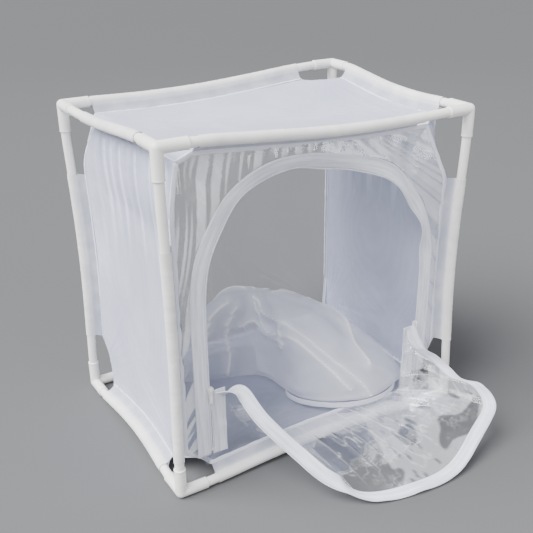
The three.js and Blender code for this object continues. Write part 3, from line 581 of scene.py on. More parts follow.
def normals_of(grid):
    """Unit normals of a grid."""
    along = np.gradient(grid, axis=0)
    across = np.gradient(grid, axis=1)
    normal = np.cross(along, across)
    return normal / np.maximum(np.linalg.norm(normal, axis=2, keepdims=True), 1e-12)


def smooth_step(value, low=0.0, high=1.0):
    """0 below low, 1 above high and smooth between them."""
    t = np.clip((value - low) / (high - low), 0, 1)
    return t * t * (3 - 2 * t)


def spline(knots, values, at):
    """Values at places along a line, by a smooth curve through values at its knots."""
    slopes = np.gradient(values, knots, axis=0)
    i = np.clip(np.searchsorted(knots, at) - 1, 0, len(knots) - 2)
    step = (knots[i + 1] - knots[i])[:, None]
    t = (np.asarray(at) - knots[i])[:, None] / step
    rise = values[i + 1] - values[i]
    cubic = slopes[i] * step * t * (1 - t) ** 2 - slopes[i + 1] * step * t**2 * (1 - t)
    return values[i] + rise * (3 * t**2 - 2 * t**3) + cubic


def distances(line):
    """Length along a line of points, at each of them."""
    return np.concatenate([[0], np.cumsum(np.linalg.norm(np.diff(line, axis=0), axis=1))])


def evenly(line, count):
    """A smooth line's points, spaced evenly."""
    lengths = distances(line)
    return spline(lengths, line, np.linspace(0, lengths[-1], count))


def ripple(at, pitch, seed, octaves=2):
    """Uneven waves from -1 to 1 with about one pitch between them."""
    at = np.asarray(at, float)
    total, size = np.zeros_like(at), 1.0
    for octave in range(octaves):
        step = pitch / (2 * 2**octave)
        low, high = at.min() - 2 * step, at.max() + 3 * step
        knots = np.arange(low, high + step, step)
        heights = np.random.default_rng(seed + 17 * octave).uniform(-1, 1, len(knots))
        heights *= np.where(np.arange(len(knots)) % 2, 1, -1) * np.sign(heights)
        i = np.clip(((at - low) / step).astype(int), 0, len(knots) - 2)
        t = (at - low) / step - i
        total += size * (heights[i] + (heights[i + 1] - heights[i]) * t * t * (3 - 2 * t))
        size *= 0.45
    return total / 1.3


def evened(wave, power=0.5):
    """A wave whose weak swells are raised towards its strong ones."""
    return np.sign(wave) * np.abs(wave) ** power


def cloud(points, scale, seed=0.0):
    """Smooth noise from -1 to 1 at points."""
    flat = points.reshape(-1, 3) / scale + seed
    values = [noise.noise(Vector(p)) for p in flat]
    return np.array(values).reshape(points.shape[:-1])


def rings(line, guide, width, thickness, sides):
    """Oval rings round a line of points, by half their width across a guide direction and half their
    thickness along it."""
    tangent = unit(np.gradient(line, axis=0))
    across = unit(np.cross(tangent, guide))
    other = np.cross(tangent, across)
    turn = np.linspace(0, 2 * math.pi, sides, endpoint=False)
    wide = across[:, None] * (np.cos(turn) * width)[:, None]
    return line[:, None] + wide + other[:, None] * (np.sin(turn) * thickness)[:, None]


def closed_tube(name, line, radius, sides, finish, body="root"):
    """A round bar along a line, closed at both ends."""
    steep = np.abs(unit(np.gradient(line, axis=0))).sum(axis=0)
    grid = rings(line, np.eye(3)[int(steep.argmin())], radius, radius, sides)
    values = {"along": np.repeat(distances(line), sides)}
    return mesh_piece(name, grid.reshape(-1, 3), capped_faces(len(line), sides), finish, body, values)


def thicken(piece, thickness):
    """Gives a sheet its thickness, half on each side."""
    solid = piece.modifiers.new("thickness", "SOLIDIFY")
    solid.thickness = thickness
    solid.offset = 0
    return piece


def declare(grid, size):
    """Works out a sheet's area, at most the size that it was cut to; the area is not used."""
    width, breadth = size
    area = min(grid_area(grid), width * breadth)


# The frame's lines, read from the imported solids

FITTINGS = [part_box(node) for node in nodes if node.startswith("corner_fitting")]
MIDDLE = Vector([sum(box[k][axis] for box in FITTINGS for k in (0, 1)) / 16 for axis in range(3)])


class Pipe:
    """A pipe's centre line, its inward directions and its sleeve."""

    def __init__(self, name):
        self.name = name
        self.node = f"{'post' if name in POSTS else 'pipe'}_{name}"
        points = points_of(self.node)
        self.along = int(np.argmax(np.ptp(points, axis=0)))
        places = np.round(points[:, self.along], 4)
        self.knots = np.unique(places)
        rings = [points[places == k] for k in self.knots]
        self.centres = np.array([(ring.min(axis=0) + ring.max(axis=0)) / 2 for ring in rings])
        self.sides = [k for k in range(3) if k != self.along]
        middle = self.centres[len(self.centres) // 2]
        self.signs = {k: 1 if middle[k] > MIDDLE[k] else -1 for k in self.sides}
        self.inward = sum(-self.signs[k] * np.eye(3)[k] for k in self.sides)
        low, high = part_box(f"sleeve_{name}")
        self.sleeve = (low[self.along], high[self.along])
        self.corners = [self.corner(sign) for sign in (-1, 1)]

    def corner(self, end):
        """A corner's signs along X, Y and Z at one of the pipe's ends."""
        return tuple(end if k == self.along else self.signs[k] for k in range(3))

    def centre(self, at):
        """Points of the centre line at places along the pipe."""
        return spline(self.knots, self.centres, np.atleast_1d(at))

    def seam(self, part):
        """Points of the seam at parts of the sleeve's length, from 0 to 1."""
        low, high = self.sleeve
        return self.centre(low + np.asarray(part) * (high - low)) + self.inward * settings("cover").seam_inset


# The share of a bag edge from a corner to the sleeve's end
STRETCH = 1 / 8
# The share of a panel over which a corner's pull dies away
FADE = 0.35
# A panel's points this near the frame's corner are looked at for the place where three panels meet
CORNER_REACH = 0.16

# How far a free edge of the cover bows out towards its pipe, where it does
BOWED = {("front_left", (-1, -1, 1)): 0.008, ("back_left", (-1, 1, 1)): 0.003}


# The words for the lower and upper ends of X, Y and Z, and the panels that face those ways
WORDS = (("left", "right"), ("front", "back"), ("bottom", "top"))
PANELS = (
    ("left_net_panel", "right_net_panel"),
    ("front_film_surround", "back_film_panel"),
    ("bottom_net_panel", "top_net_panel"),
)


class Cage:
    """All pipes, and the corners that the cover is drawn in to."""

    def __init__(self):
        self.pipes = {name: Pipe(name) for name in RAILS + POSTS}
        self.corner = {}
        self.bag = {}
        for pipe in self.pipes.values():
            for end, key in zip((0, -1), pipe.corners):
                point = self.corner.setdefault(key, np.zeros(3))
                for k in pipe.sides:
                    point[k] += pipe.centres[end][k] / 2
        for key, point in self.corner.items():
            self.bag[key] = self.meeting([self.around(self.panel(key, k), point) for k in range(3)])

    def panel(self, key, axis):
        """The cover's panel that faces an axis at a corner."""
        return PANELS[axis][key[axis] > 0]

    def around(self, node, point):
        """A panel's points near a corner."""
        points = points_of(node)
        return points[np.linalg.norm(points - point, axis=1) < CORNER_REACH]

    def meeting(self, panels):
        """The place where three panels meet."""
        gaps = [np.linalg.norm(panels[0][:, None] - other[None], axis=2) for other in panels[1:]]
        first = int(np.argmin(gaps[0].min(axis=1) + gaps[1].min(axis=1)))
        places = [panels[0][first]] + [other[gap[first].argmin()] for other, gap in zip(panels[1:], gaps)]
        return np.mean(places, axis=0)

    def square(self, key):
        """Where the seams would meet if they ran on straight."""
        return self.corner[key] - np.array(key) * settings("cover").seam_inset

    def edge(self, name, t, drawn=True):
        """Points of a bag edge, from corner to corner. The outer stretches run from corner to sleeve."""
        pipe = self.pipes[name]
        t = np.asarray(t, float)
        line = pipe.seam(np.clip((t - STRETCH) / (1 - 2 * STRETCH), 0, 1))
        for key, part in zip(pipe.corners, (t / STRETCH, (1 - t) / STRETCH)):
            corner = self.bag[key] if drawn else self.square(key)
            weight = np.clip(part, 0, 1)[:, None]
            bow = BOWED.get((name, key), 0) * np.sin(math.pi * weight) * -pipe.inward
            line = np.where(part[:, None] < 1, corner * (1 - weight) + line * weight + bow, line)
        return line

    def stretched(self, low, high, first, last, u, v):
        """A cloth stretched between four bag edges: low and high along u, first and last along v."""
        def patch(edge, weigh):
            wu, wv = weigh(u)[:, None, None], weigh(v)[None, :, None]
            xu, xv = weigh(1 - u)[:, None, None], weigh(1 - v)[None, :, None]
            bottom, top, left, right = edge(low, u), edge(high, u), edge(first, v), edge(last, v)
            sides = bottom[:, None] * wv + top[:, None] * xv + left[None] * wu + right[None] * xu
            return sides - bottom[0] * wu * wv - bottom[-1] * xu * wv - top[0] * wu * xv - top[-1] * xu * xv

        flat = patch(lambda name, t: self.edge(name, t, False), lambda t: 1 - t)
        pull = patch(
            lambda name, t: self.edge(name, t) - self.edge(name, t, False),
            lambda t: np.maximum(1 - t / FADE, 0) ** 2,
        )
        return flat + pull


cage = None


def the_cage():
    """The cage's lines, read once."""
    global cage
    if cage is None:
        cage = Cage()
    return cage


def panel_nodes(count):
    """Even places across a panel, closer near its two edges."""
    t = np.linspace(0, 1, count)
    return t - 0.09 * np.sin(2 * math.pi * t) / 1.4


# How far from a seam its puckers die away
PUCKER_REACH = 0.014


def puckers(u, v, width, breadth, seed):
    """Small gathers along the four seams of a panel of a given size."""
    cover = settings("cover")
    x, y = u[:, None] * width, v[None, :] * breadth
    total = np.zeros((len(u), len(v)))
    runs = ((x, y), (x, breadth - y), (y, x), (y, width - x))
    for k, (along, away) in enumerate(runs):
        wave = ripple(np.unique(along), cover.pucker_pitch, seed + k, 1)
        wave = wave[:, None] if along.shape[1] == 1 else wave[None, :]
        total = total + wave * np.exp(-away / PUCKER_REACH)
    return total * cover.pucker_depth


# Pieces of the frame

PIPE_SIDES, PIPE_STEPS = 36, 72
FITTING_SIDES = 40
# The grain in which a fitting's legs are fused, and how its edges are then relaxed
FITTING_VOXEL = 0.0009
RELAX_FACTOR, RELAX_STEPS = 0.5, 5


class ENCLOSURE_OT_pipes(Operator):
    """Rails and posts of extruded pipe"""

    bl_idname = "enclosure.pipes"
    bl_label = "Pipes"

    def execute(self, context):
        radius = settings("frame").pipe_diameter / 2
        for pipe in the_cage().pipes.values():
            low, high = pipe.knots[0], pipe.knots[-1]
            line = pipe.centre(np.linspace(low, high, PIPE_STEPS))
            piece = closed_tube(f"{pipe.node}_wall", line, radius, PIPE_SIDES, "extruded_plastic")
            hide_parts(pipe.node)
        return {"FINISHED"}


def leg_profile():
    """Radius of a fitting's leg at distances from the corner, as pairs."""
    sizes = settings("frame")
    radius = sizes.fitting_diameter / 2
    low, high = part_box("corner_fitting_bottom_front_left")
    reach = high[2] - radius
    bead, width = sizes.mouth_bead, sizes.mouth_width
    body = radius - bead
    rise, crown = (reach - width - bead, body), (reach - width, radius)
    return [(0, body), rise, crown, (reach - bead, radius), (reach, body)]


def corner_mesh():
    """Points and faces of a corner fitting with its legs along +X, +Y and +Z, fused and filleted."""
    turn = np.linspace(0, 2 * math.pi, FITTING_SIDES, endpoint=False)
    profile = leg_profile()
    points, faces = [], []
    for axis in range(3):
        faces.extend(capped_faces(len(profile), FITTING_SIDES, len(points)))
        for at, radius in profile:
            ring = np.zeros((FITTING_SIDES, 3))
            ring[:, axis] = at
            ring[:, (axis + 1) % 3] = radius * np.cos(turn)
            ring[:, (axis + 2) % 3] = radius * np.sin(turn)
            points.extend(ring)
    mesh = bpy.data.meshes.new("corner_form")
    mesh.from_pydata([tuple(p) for p in points], [], faces)
    form = added("corner_form", mesh)
    bpy.ops.mesh.primitive_uv_sphere_add(segments=48, ring_count=32, radius=profile[0][1])
    ball = bpy.context.object
    union = form.modifiers.new("union", "BOOLEAN")
    union.operation = "UNION"
    union.object = ball
    union.use_self = True
    fuse = form.modifiers.new("fuse", "REMESH")
    fuse.mode = "VOXEL"
    fuse.voxel_size = FITTING_VOXEL
    relax = form.modifiers.new("relax", "SMOOTH")
    relax.factor, relax.iterations = RELAX_FACTOR, RELAX_STEPS
    fused = form.evaluated_get(bpy.context.evaluated_depsgraph_get())
    made = fused.to_mesh()
    flat = np.zeros(len(made.vertices) * 3)
    made.vertices.foreach_get("co", flat)
    polygons = [list(p.vertices) for p in made.polygons]
    fused.to_mesh_clear()
    for scratch in (form, ball):
        bpy.data.objects.remove(scratch)
    return flat.reshape(-1, 3), polygons


class ENCLOSURE_OT_fittings(Operator):
    """Moulded three-way corner fittings"""

    bl_idname = "enclosure.fittings"
    bl_label = "Corner fittings"

    def execute(self, context):
        points, faces = corner_mesh()
        for key, corner in the_cage().corner.items():
            side, face, level = [WORDS[k][key[k] > 0] for k in range(3)]
            node = f"corner_fitting_{level}_{face}_{side}"
            placed = corner - points * np.array(key)
            turned = faces if np.prod(key) < 0 else [f[::-1] for f in faces]
            piece = mesh_piece(f"{node}_moulding", placed, turned, "moulded_plastic")
            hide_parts(node)
        return {"FINISHED"}


# Pieces of the cover

RIBBON_SIDES = 10
# A panel is cut this much larger than it is between its seams, and a sleeve than it is round its pipe
SEAM_ALLOWANCE = 1.03
HEM_ALLOWANCE = 1.02
BINDING_THICKNESS = 0.0018


# A sleeve leaves its pipe at this angle from the way to the seam, in degrees
TAIL_ANGLE = 26
# Gathers round the pipe, deeper by a share near the sleeve's ends, and the longer waves of the flange
GATHER_PITCH, GATHER_DEPTH, GATHER_SEED = 0.013, 0.0005, 7
GATHER_ENDS, GATHER_REACH = 0.4, 0.012
FLANGE_WAVE_PITCH, FLANGE_WAVE_DEPTH, FLANGE_WAVE_SEED = 0.05, 0.0008, 31


def sleeve_profile():
    """A sleeve's cross-section from seam to seam round the pipe: places towards the bag and across, and how
    close each lies on the pipe."""
    cover, sizes = settings("cover"), settings("frame")
    radius = sizes.pipe_diameter / 2 + cover.sleeve_gap
    reach = cover.seam_inset * math.sqrt(2)
    start = math.radians(TAIL_ANGLE)
    turn = np.linspace(start, 2 * math.pi - start, 34)
    ring = np.stack([np.cos(turn), np.sin(turn)], axis=1) * radius
    out = np.linspace(1, 0, 13)[:-1]
    lead, rise = ring[0]
    x = lead + (reach - lead) * out
    y = cover.flange / 2 + (rise - cover.flange / 2) * (1 - out) ** 4
    profile = np.concatenate([np.stack([x, y], axis=1), ring, np.stack([x[::-1], -y[::-1]], axis=1)])
    # Where laid falls away the sleeve shows its cloth colour, a painted shade of the flange.
    laid = np.concatenate([(1 - out) ** 6, np.ones(len(ring)), (1 - out[::-1]) ** 6])
    return profile, laid


class ENCLOSURE_OT_sleeves(Operator):
    """Cloth sleeves round the pipes, with their flanges"""

    bl_idname = "enclosure.sleeves"
    bl_label = "Pipe sleeves"

    def execute(self, context):
        for number, pipe in enumerate(the_cage().pipes.values()):
            profile, laid = sleeve_profile()
            low, high = pipe.sleeve
            at = np.linspace(low, high, 120)
            centre = pipe.centre(at)
            towards = unit(pipe.inward)
            across = np.cross(np.eye(3)[pipe.along], towards)
            radial = unit(profile)
            gather = np.abs(ripple(at, GATHER_PITCH, GATHER_SEED + number)) * GATHER_DEPTH
            ends = np.exp(-np.minimum(at - low, high - at) / GATHER_REACH)
            gather = gather * (1 + GATHER_ENDS * ends)
            wave = ripple(at, FLANGE_WAVE_PITCH, FLANGE_WAVE_SEED + number) * FLANGE_WAVE_DEPTH
            x = profile[None, :, 0] + radial[None, :, 0] * gather[:, None]
            y = profile[None, :, 1] + radial[None, :, 1] * gather[:, None]
            flange = smooth_step(profile[:, 0], 0.010, 0.022)[None, :]
            y = y + flange * wave[:, None] * (1 - smooth_step(profile[None, :, 0], 0.0215, 0.0255))
            grid = centre[:, None] + towards * x[..., None] + across * y[..., None]
            node = f"sleeve_{pipe.name}"
            values = {"laid": np.broadcast_to(laid, grid.shape[:2])}
            piece = grid_piece(f"{node}_cloth", grid, "pipe_cloth", values=values)
            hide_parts(node)
            size = (float(distances(profile)[-1]) * HEM_ALLOWANCE, float(high - low) * HEM_ALLOWANCE)
            declare(grid, size)
        return {"FINISHED"}


def ribbon(name, line, normal, half_width, half_thickness, finish):
    """A flat rounded strip along a line, its flat side facing along a normal."""
    grid = rings(line, normal, half_width, -half_thickness, RIBBON_SIDES)
    return mesh_piece(name, grid.reshape(-1, 3), capped_faces(len(line), RIBBON_SIDES), finish)


# A binding waves by a share of its half width. Its middle line lies in from the seam by another share of it,
# and a little off the panel.
BINDING_WAVE_PITCH, BINDING_WAVE_SHARE = 0.03, 0.16
BINDING_SET_IN = 0.75
BINDING_LIFT = 0.0002


class ENCLOSURE_OT_bindings(Operator):
    """Bound seams along the twelve edges of the cover, one strip on each of the two panels that meet there"""

    bl_idname = "enclosure.bindings"
    bl_label = "Seam bindings"

    def execute(self, context):
        cover = settings("cover")
        for number, name in enumerate(RAILS + POSTS):
            pipe = the_cage().pipes[name]
            seam = the_cage().edge(name, np.linspace(0, 1, 120))
            lengths = distances(seam)
            for k in pipe.sides:
                other = sum(pipe.sides) - k
                front = k == 1 and pipe.signs[1] < 0
                half = (cover.front_binding if front else cover.binding) / 2
                wave = ripple(lengths, BINDING_WAVE_PITCH, number * 3 + k)[:, None]
                wave = wave * half * BINDING_WAVE_SHARE
                inward = -pipe.signs[other] * np.eye(3)[other]
                line = seam + inward * (half * BINDING_SET_IN + wave)
                line = line + np.eye(3)[k] * -pipe.signs[k] * BINDING_LIFT
                panel = WORDS[k][pipe.signs[k] > 0]
                ribbon(f"seam_binding_{name}_{panel}", line, np.eye(3)[k], half, BINDING_THICKNESS / 2,
                       "binding_cloth")
        return {"FINISHED"}


def panel_piece(name, node, edges, finish, shape, counts=(110, 110)):
    """A panel between four bag edges, displaced along its normals by a shape."""
    u, v = panel_nodes(counts[0]), panel_nodes(counts[1])
    grid = the_cage().stretched(*edges, u, v)
    width = float(distances(grid[:, len(v) // 2])[-1])
    breadth = float(distances(grid[len(u) // 2])[-1])
    lift = shape(grid, u, v, width, breadth) + puckers(u, v, width, breadth, len(name))
    grid = grid + normals_of(grid) * lift[..., None]
    # Each raised crest of the shape is kept as fold: a painted highlight, lighter and more opaque net and
    # whiter film.
    crest = smooth_step(lift / settings("cover").pleat_depth, 0.08, 0.65) * 0.95
    piece = grid_piece(name, grid, finish, values={"fold": crest})
    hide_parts(node)
    declare(grid, (width * SEAM_ALLOWANCE, breadth * SEAM_ALLOWANCE))


# The angle between two folds of a corner's fan, in radians, and how far from the corner the fan starts
FAN_PITCH = 0.16
FAN_START = 0.03


def tension(grid, corners, seed, depth, reach=0.16):
    """Folds that fan out from drawn-in corners and die away over a reach."""
    total = np.zeros(grid.shape[:2])
    for number, (point, flat) in enumerate(corners):
        away = grid - point
        a, b = away[..., flat[0]], away[..., flat[1]]
        distance = np.hypot(a, b)
        angle = np.arctan2(a, b)
        fan = ripple(angle.ravel(), FAN_PITCH, seed + number, 2).reshape(angle.shape)
        total += fan * np.exp(-distance / reach) * smooth_step(distance, 0.0, FAN_START)
    return total * depth


def level_shape(sag, seed):
    """Shape of a level panel: it sags, and its corners draw folds."""
    def shape(grid, u, v, width, breadth):
        pillow = np.sin(math.pi * u)[:, None] * np.sin(math.pi * v)[None, :]
        key = 1 if grid[..., 2].mean() > MIDDLE[2] else -1
        corners = [(point, (0, 1)) for k, point in the_cage().bag.items() if k[2] == key]
        folds = tension(grid, corners, seed, 0.0016)
        return folds + cloud(grid, 0.12, seed) * 0.002 - pillow * sag
    return shape


def side_shape(sign, seed):
    """Shape of a side panel: uneven pleats below its top rail and folds from its corners."""
    def shape(grid, u, v, width, breadth):
        cover = settings("cover")
        across = u * width
        pleats = evened(ripple(across, cover.pleat_pitch, seed, 1))[:, None]
        fall = cover.pleat_length * (1 + 0.5 * ripple(across, 0.05, seed + 5, 1))[:, None]
        below = (1 - v)[None, :] * breadth
        fade = np.exp(-((below / fall) ** 1.5)) * smooth_step(below, 0.0, 0.012)
        ends = np.sin(math.pi * np.clip(u * 1.02, 0, 1))[:, None] ** 0.5
        corners = [(point, (1, 2)) for k, point in the_cage().bag.items() if k[0] == sign]
        folds = tension(grid, corners, seed + 9, 0.0018, 0.10)
        return pleats * fade * ends * cover.pleat_depth + folds + cloud(grid, 0.16, seed) * 0.002
    return shape


def back_shape(grid, u, v, width, breadth):
    """Shape of the back film: nearly flat, with a crooked crease across it and folds in its corners."""
    level = 0.485 + 0.012 * ripple(grid[..., 0].ravel(), 0.11, 3).reshape(grid.shape[:2])
    crease = np.exp(-np.abs(grid[..., 2] - level) / 0.006) * smooth_step(grid[..., 0], 0.2, -0.15)
    corners = [(point, (0, 2)) for k, point in the_cage().bag.items() if k[1] == 1]
    folds = tension(grid, corners, 41, 0.0022, 0.12)
    return folds + crease * 0.0025 + cloud(grid, 0.10, 5.0) * 0.002 + cloud(grid, 0.035, 9.0) * 0.0006


class ENCLOSURE_OT_panels(Operator):
    """Net top, floor and side panels and the back film"""

    bl_idname = "enclosure.panels"
    bl_label = "Panels"

    def execute(self, context):
        cover = settings("cover")
        for name, sag in (("top", cover.top_sag), ("bottom", cover.floor_sag)):
            edges = [f"{name}_{edge}" for edge in ("front", "back", "left", "right")]
            shape = level_shape(sag, 11 if name == "top" else 23)
            finish = "white_net" if name == "top" else "shaded_floor_net"
            panel_piece(f"{name}_net", f"{name}_net_panel", edges, finish, shape)
        for name, sign in (("left", -1), ("right", 1)):
            edges = [f"{edge}_{name}" for edge in ("bottom", "top", "front", "back")]
            shape = side_shape(sign, 51 + sign)
            panel_piece(f"{name}_net", f"{name}_net_panel", edges, "white_net", shape,
                        (220, 90))
        edges = ["bottom_back", "top_back", "back_left", "back_right"]
        panel_piece("back_film", "back_film_panel", edges, "back_film", back_shape, counts=(140, 140))
        return {"FINISHED"}


# The door's outline, read from its tape

# The lowest rays pass this far above the tape's cut ends
TAPE_CLEARANCE = 0.0004
COIL_SIDES = 10
# A coil's axis stands this share of its width off the tape's edge
COIL_SEAT = 0.62
# The tapes that are sewn to the front run on below their zip by this length
TAPE_TAIL = 0.007
# A waved tape is cut this much larger than its edges measure
TAPE_EASE = 1.05
EDGE_ROUNDING = 0.0002


class Door:
    """The outer and inner edges of the door's tape, from the left sill over the arch to the right sill."""

    def __init__(self):
        self.tape = tree_of("door_zip_tape")
        low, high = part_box("door_zip_tape")
        self.plane = (low[1] + high[1]) / 2
        self.springing = settings("door").springing
        self.sills = [self.sill(-1), self.sill(1)]
        outer, inner = [], []
        for origin, direction in self.rays():
            inner.append(self.hit(origin, direction))
            outer.append(self.hit(origin + direction, -direction))
        self.outer = np.array(outer)
        self.inner = np.array(inner)
        self.lengths = distances(self.outer)

    def sill(self, sign):
        """The tape's lowest level on one side."""
        points = points_of("door_zip_tape")
        return float(points[points[:, 0] * sign > 0.1][:, 2].min())

    def rays(self):
        """Rays that cross the tape from inside the door."""
        centre = Vector((0, self.plane, self.springing))
        for z in np.linspace(self.sills[0] + TAPE_CLEARANCE, self.springing, 60)[:-1]:
            yield Vector((0, self.plane, z)), Vector((-1, 0, 0))
        for turn in np.linspace(0, math.pi, 150):
            yield centre, Vector((-math.cos(turn), 0, math.sin(turn)))
        for z in np.linspace(self.springing, self.sills[1] + TAPE_CLEARANCE, 60)[1:]:
            yield Vector((0, self.plane, z)), Vector((1, 0, 0))

    def hit(self, origin, direction):
        """Where a ray meets the tape."""
        place = self.tape.ray_cast(origin, direction)[0]
        if place is None:
            raise RuntimeError(f"no tape from {origin} along {direction}")
        return np.array(place)

    def edges(self, count):
        """The outer and inner edges at even steps, smoothed, and the length along them."""
        at = np.linspace(0, self.lengths[-1], count)
        soft = [soften(spline(self.lengths, line, at), 90) for line in (self.outer, self.inner)]
        return soft[0], soft[1], at

    def facing(self, point):
        """The outer edge's point that faces a point of the seam round the film."""
        level = max(point[2], self.sills[0 if point[0] < 0 else 1] + TAPE_CLEARANCE)
        if point[2] > self.springing:
            target = Vector((0, self.plane, self.springing))
            origin = Vector((point[0], self.plane, point[2]))
        else:
            target = Vector((0, self.plane, level))
            origin = Vector((math.copysign(0.3, point[0]), self.plane, level))
        return self.hit(origin, (target - origin).normalized())


def soften(line, times):
    """A line with its small kinks evened out, its ends kept."""
    line = np.array(line)
    for _ in range(times):
        line[1:-1] = (line[:-2] + 2 * line[1:-1] + line[2:]) / 4
    return line


def streaks(points):
    """Drawn streaks of the front film, those left of the door and those right of it, and how far right a
    point lies, from 0 to 1."""
    x, z = points[..., 0], points[..., 2]

    def fan(angle, pitch, seed):
        return ripple(angle.ravel(), pitch, seed, 2).reshape(x.shape)

    far = np.hypot(x + 0.42, z + 0.75)
    upper = fan(np.arctan2(x + 0.42, z + 0.75) + 0.003 * np.sin(far * 25), 0.017, 3)
    lower = fan(np.arctan2(x + 0.37, z + 0.06), 0.12, 14)
    low = 1 - smooth_step(z, 0.2, 0.38)
    left = evened(upper * (1 - low) + lower * low, 0.75)
    right = fan(np.arctan2(0.64 - z, x + 0.03), 0.13, 8)
    return left, right, smooth_step(x, -0.03, 0.09)


class ENCLOSURE_OT_front_film(Operator):
    """Clear film round the door, drawn into streaks"""

    bl_idname = "enclosure.front_film"
    bl_label = "Front film"

    def execute(self, context):
        border, facing = self.outline()
        v = np.linspace(0, 1, 34)[None, :, None]
        grid = soften(facing, 4)[:, None] * (1 - v) + border[:, None] * v
        middle = np.sin(math.pi * v[..., 0]) ** 0.6
        left, right, weight = streaks(grid)
        drawn = left * (1 - weight) + right * weight * 0.5
        crumple = cloud(grid, 0.022, 2.0) * (0.3 - 0.15 * weight)
        depth = settings("cover").streak_depth
        grid[..., 1] += (np.sqrt(drawn**2 + 0.03) + crumple) * depth * middle
        # The drawn streaks are made whiter through fold: partly the film's own milkiness, partly a painted
        # reflection.
        fold = smooth_step(left + cloud(grid, 0.08, 4.0) * 0.45, 0.0, 0.25) * (0.45 + 0.45 * middle)
        fold = fold * (1 - weight) + (0.55 - 0.42 * np.exp(-((right / 0.09) ** 2))) * weight
        piece = grid_piece("front_film", grid, "drawn_film", values={"fold": fold})
        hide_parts("front_film_surround")
        declare(grid, (1.50, 0.12))
        return {"FINISHED"}

    def outline(self):
        """The seam round the film, and the points of the door's edge that face it."""
        door, cage_lines = Door(), the_cage()
        inner_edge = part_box("zipped_tape_left")[1][0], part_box("zipped_tape_right")[0][0]
        rail = cage_lines.pipes["bottom_front"]
        low, high = rail.sleeve
        t = np.linspace(0, 1, 150)
        ends = []
        for k, sign in enumerate((-1, 1)):
            inside = np.linspace(inner_edge[k], cage_lines.bag[(sign, -1, -1)][0], 8)[:-1]
            seam = rail.seam((inside - low) / (high - low))
            seam[:, 0] = inside
            ends.append(seam)
        border = np.concatenate([
            ends[0],
            cage_lines.edge("front_left", t),
            cage_lines.edge("top_front", t)[1:],
            cage_lines.edge("front_right", t[::-1])[1:],
            ends[1][::-1],
        ])
        facing = []
        for i, point in enumerate(border):
            k = 0 if point[0] < 0 else 1
            near = min(i, len(border) - 1 - i)
            if near >= len(ends[0]):
                facing.append(door.facing(point))
                continue
            reach = door.outer[-k][0] - inner_edge[k]
            x = inner_edge[k] + reach * near / len(ends[0])
            facing.append(np.array([x, door.plane, door.sills[k]]))
        return border, np.array(facing)


def tape_values(grid, width):
    """Lengths along and across a tape, and the distance from its nearer edge."""
    along = np.repeat(distances(grid[:, 0])[:, None], grid.shape[1], axis=1)
    across = np.linspace(0, width, grid.shape[1])[None, :].repeat(grid.shape[0], axis=0)
    return {"along": along, "across": across, "edge": np.minimum(across, width - across)}


def tape_piece(name, grid, width, body="root"):
    """A woven tape from a grid across its width."""
    piece = grid_piece(name, grid, "ribbed_tape", body, tape_values(grid, width))
    return thicken(piece, settings("door").tape_thickness)


# How far the door tape's free edge curls into the bag, at shares of its way round the door
TAPE_CURL = [(0, 0), (0.3, 0), (0.42, 0.008), (0.5, 0.011), (0.56, 0.006), (0.62, -0.006), (0.69, -0.014),
             (0.75, -0.011), (0.81, 0), (1, 0)]


# The door tape waves only in the arch: it starts over the first stretch of its length from the left sill, and
# ends over the last one, counted back from the right sill
WAVE_START = (0.36, 0.50)
WAVE_END = (0.28, 0.20)
WAVE_PITCH, WAVE_SEED = 0.12, 12
# The coil starts this far above the sills
COIL_START = 0.006
ZIPPED_BEND_PITCH, ZIPPED_BEND_DEPTH = 0.05, 0.0016


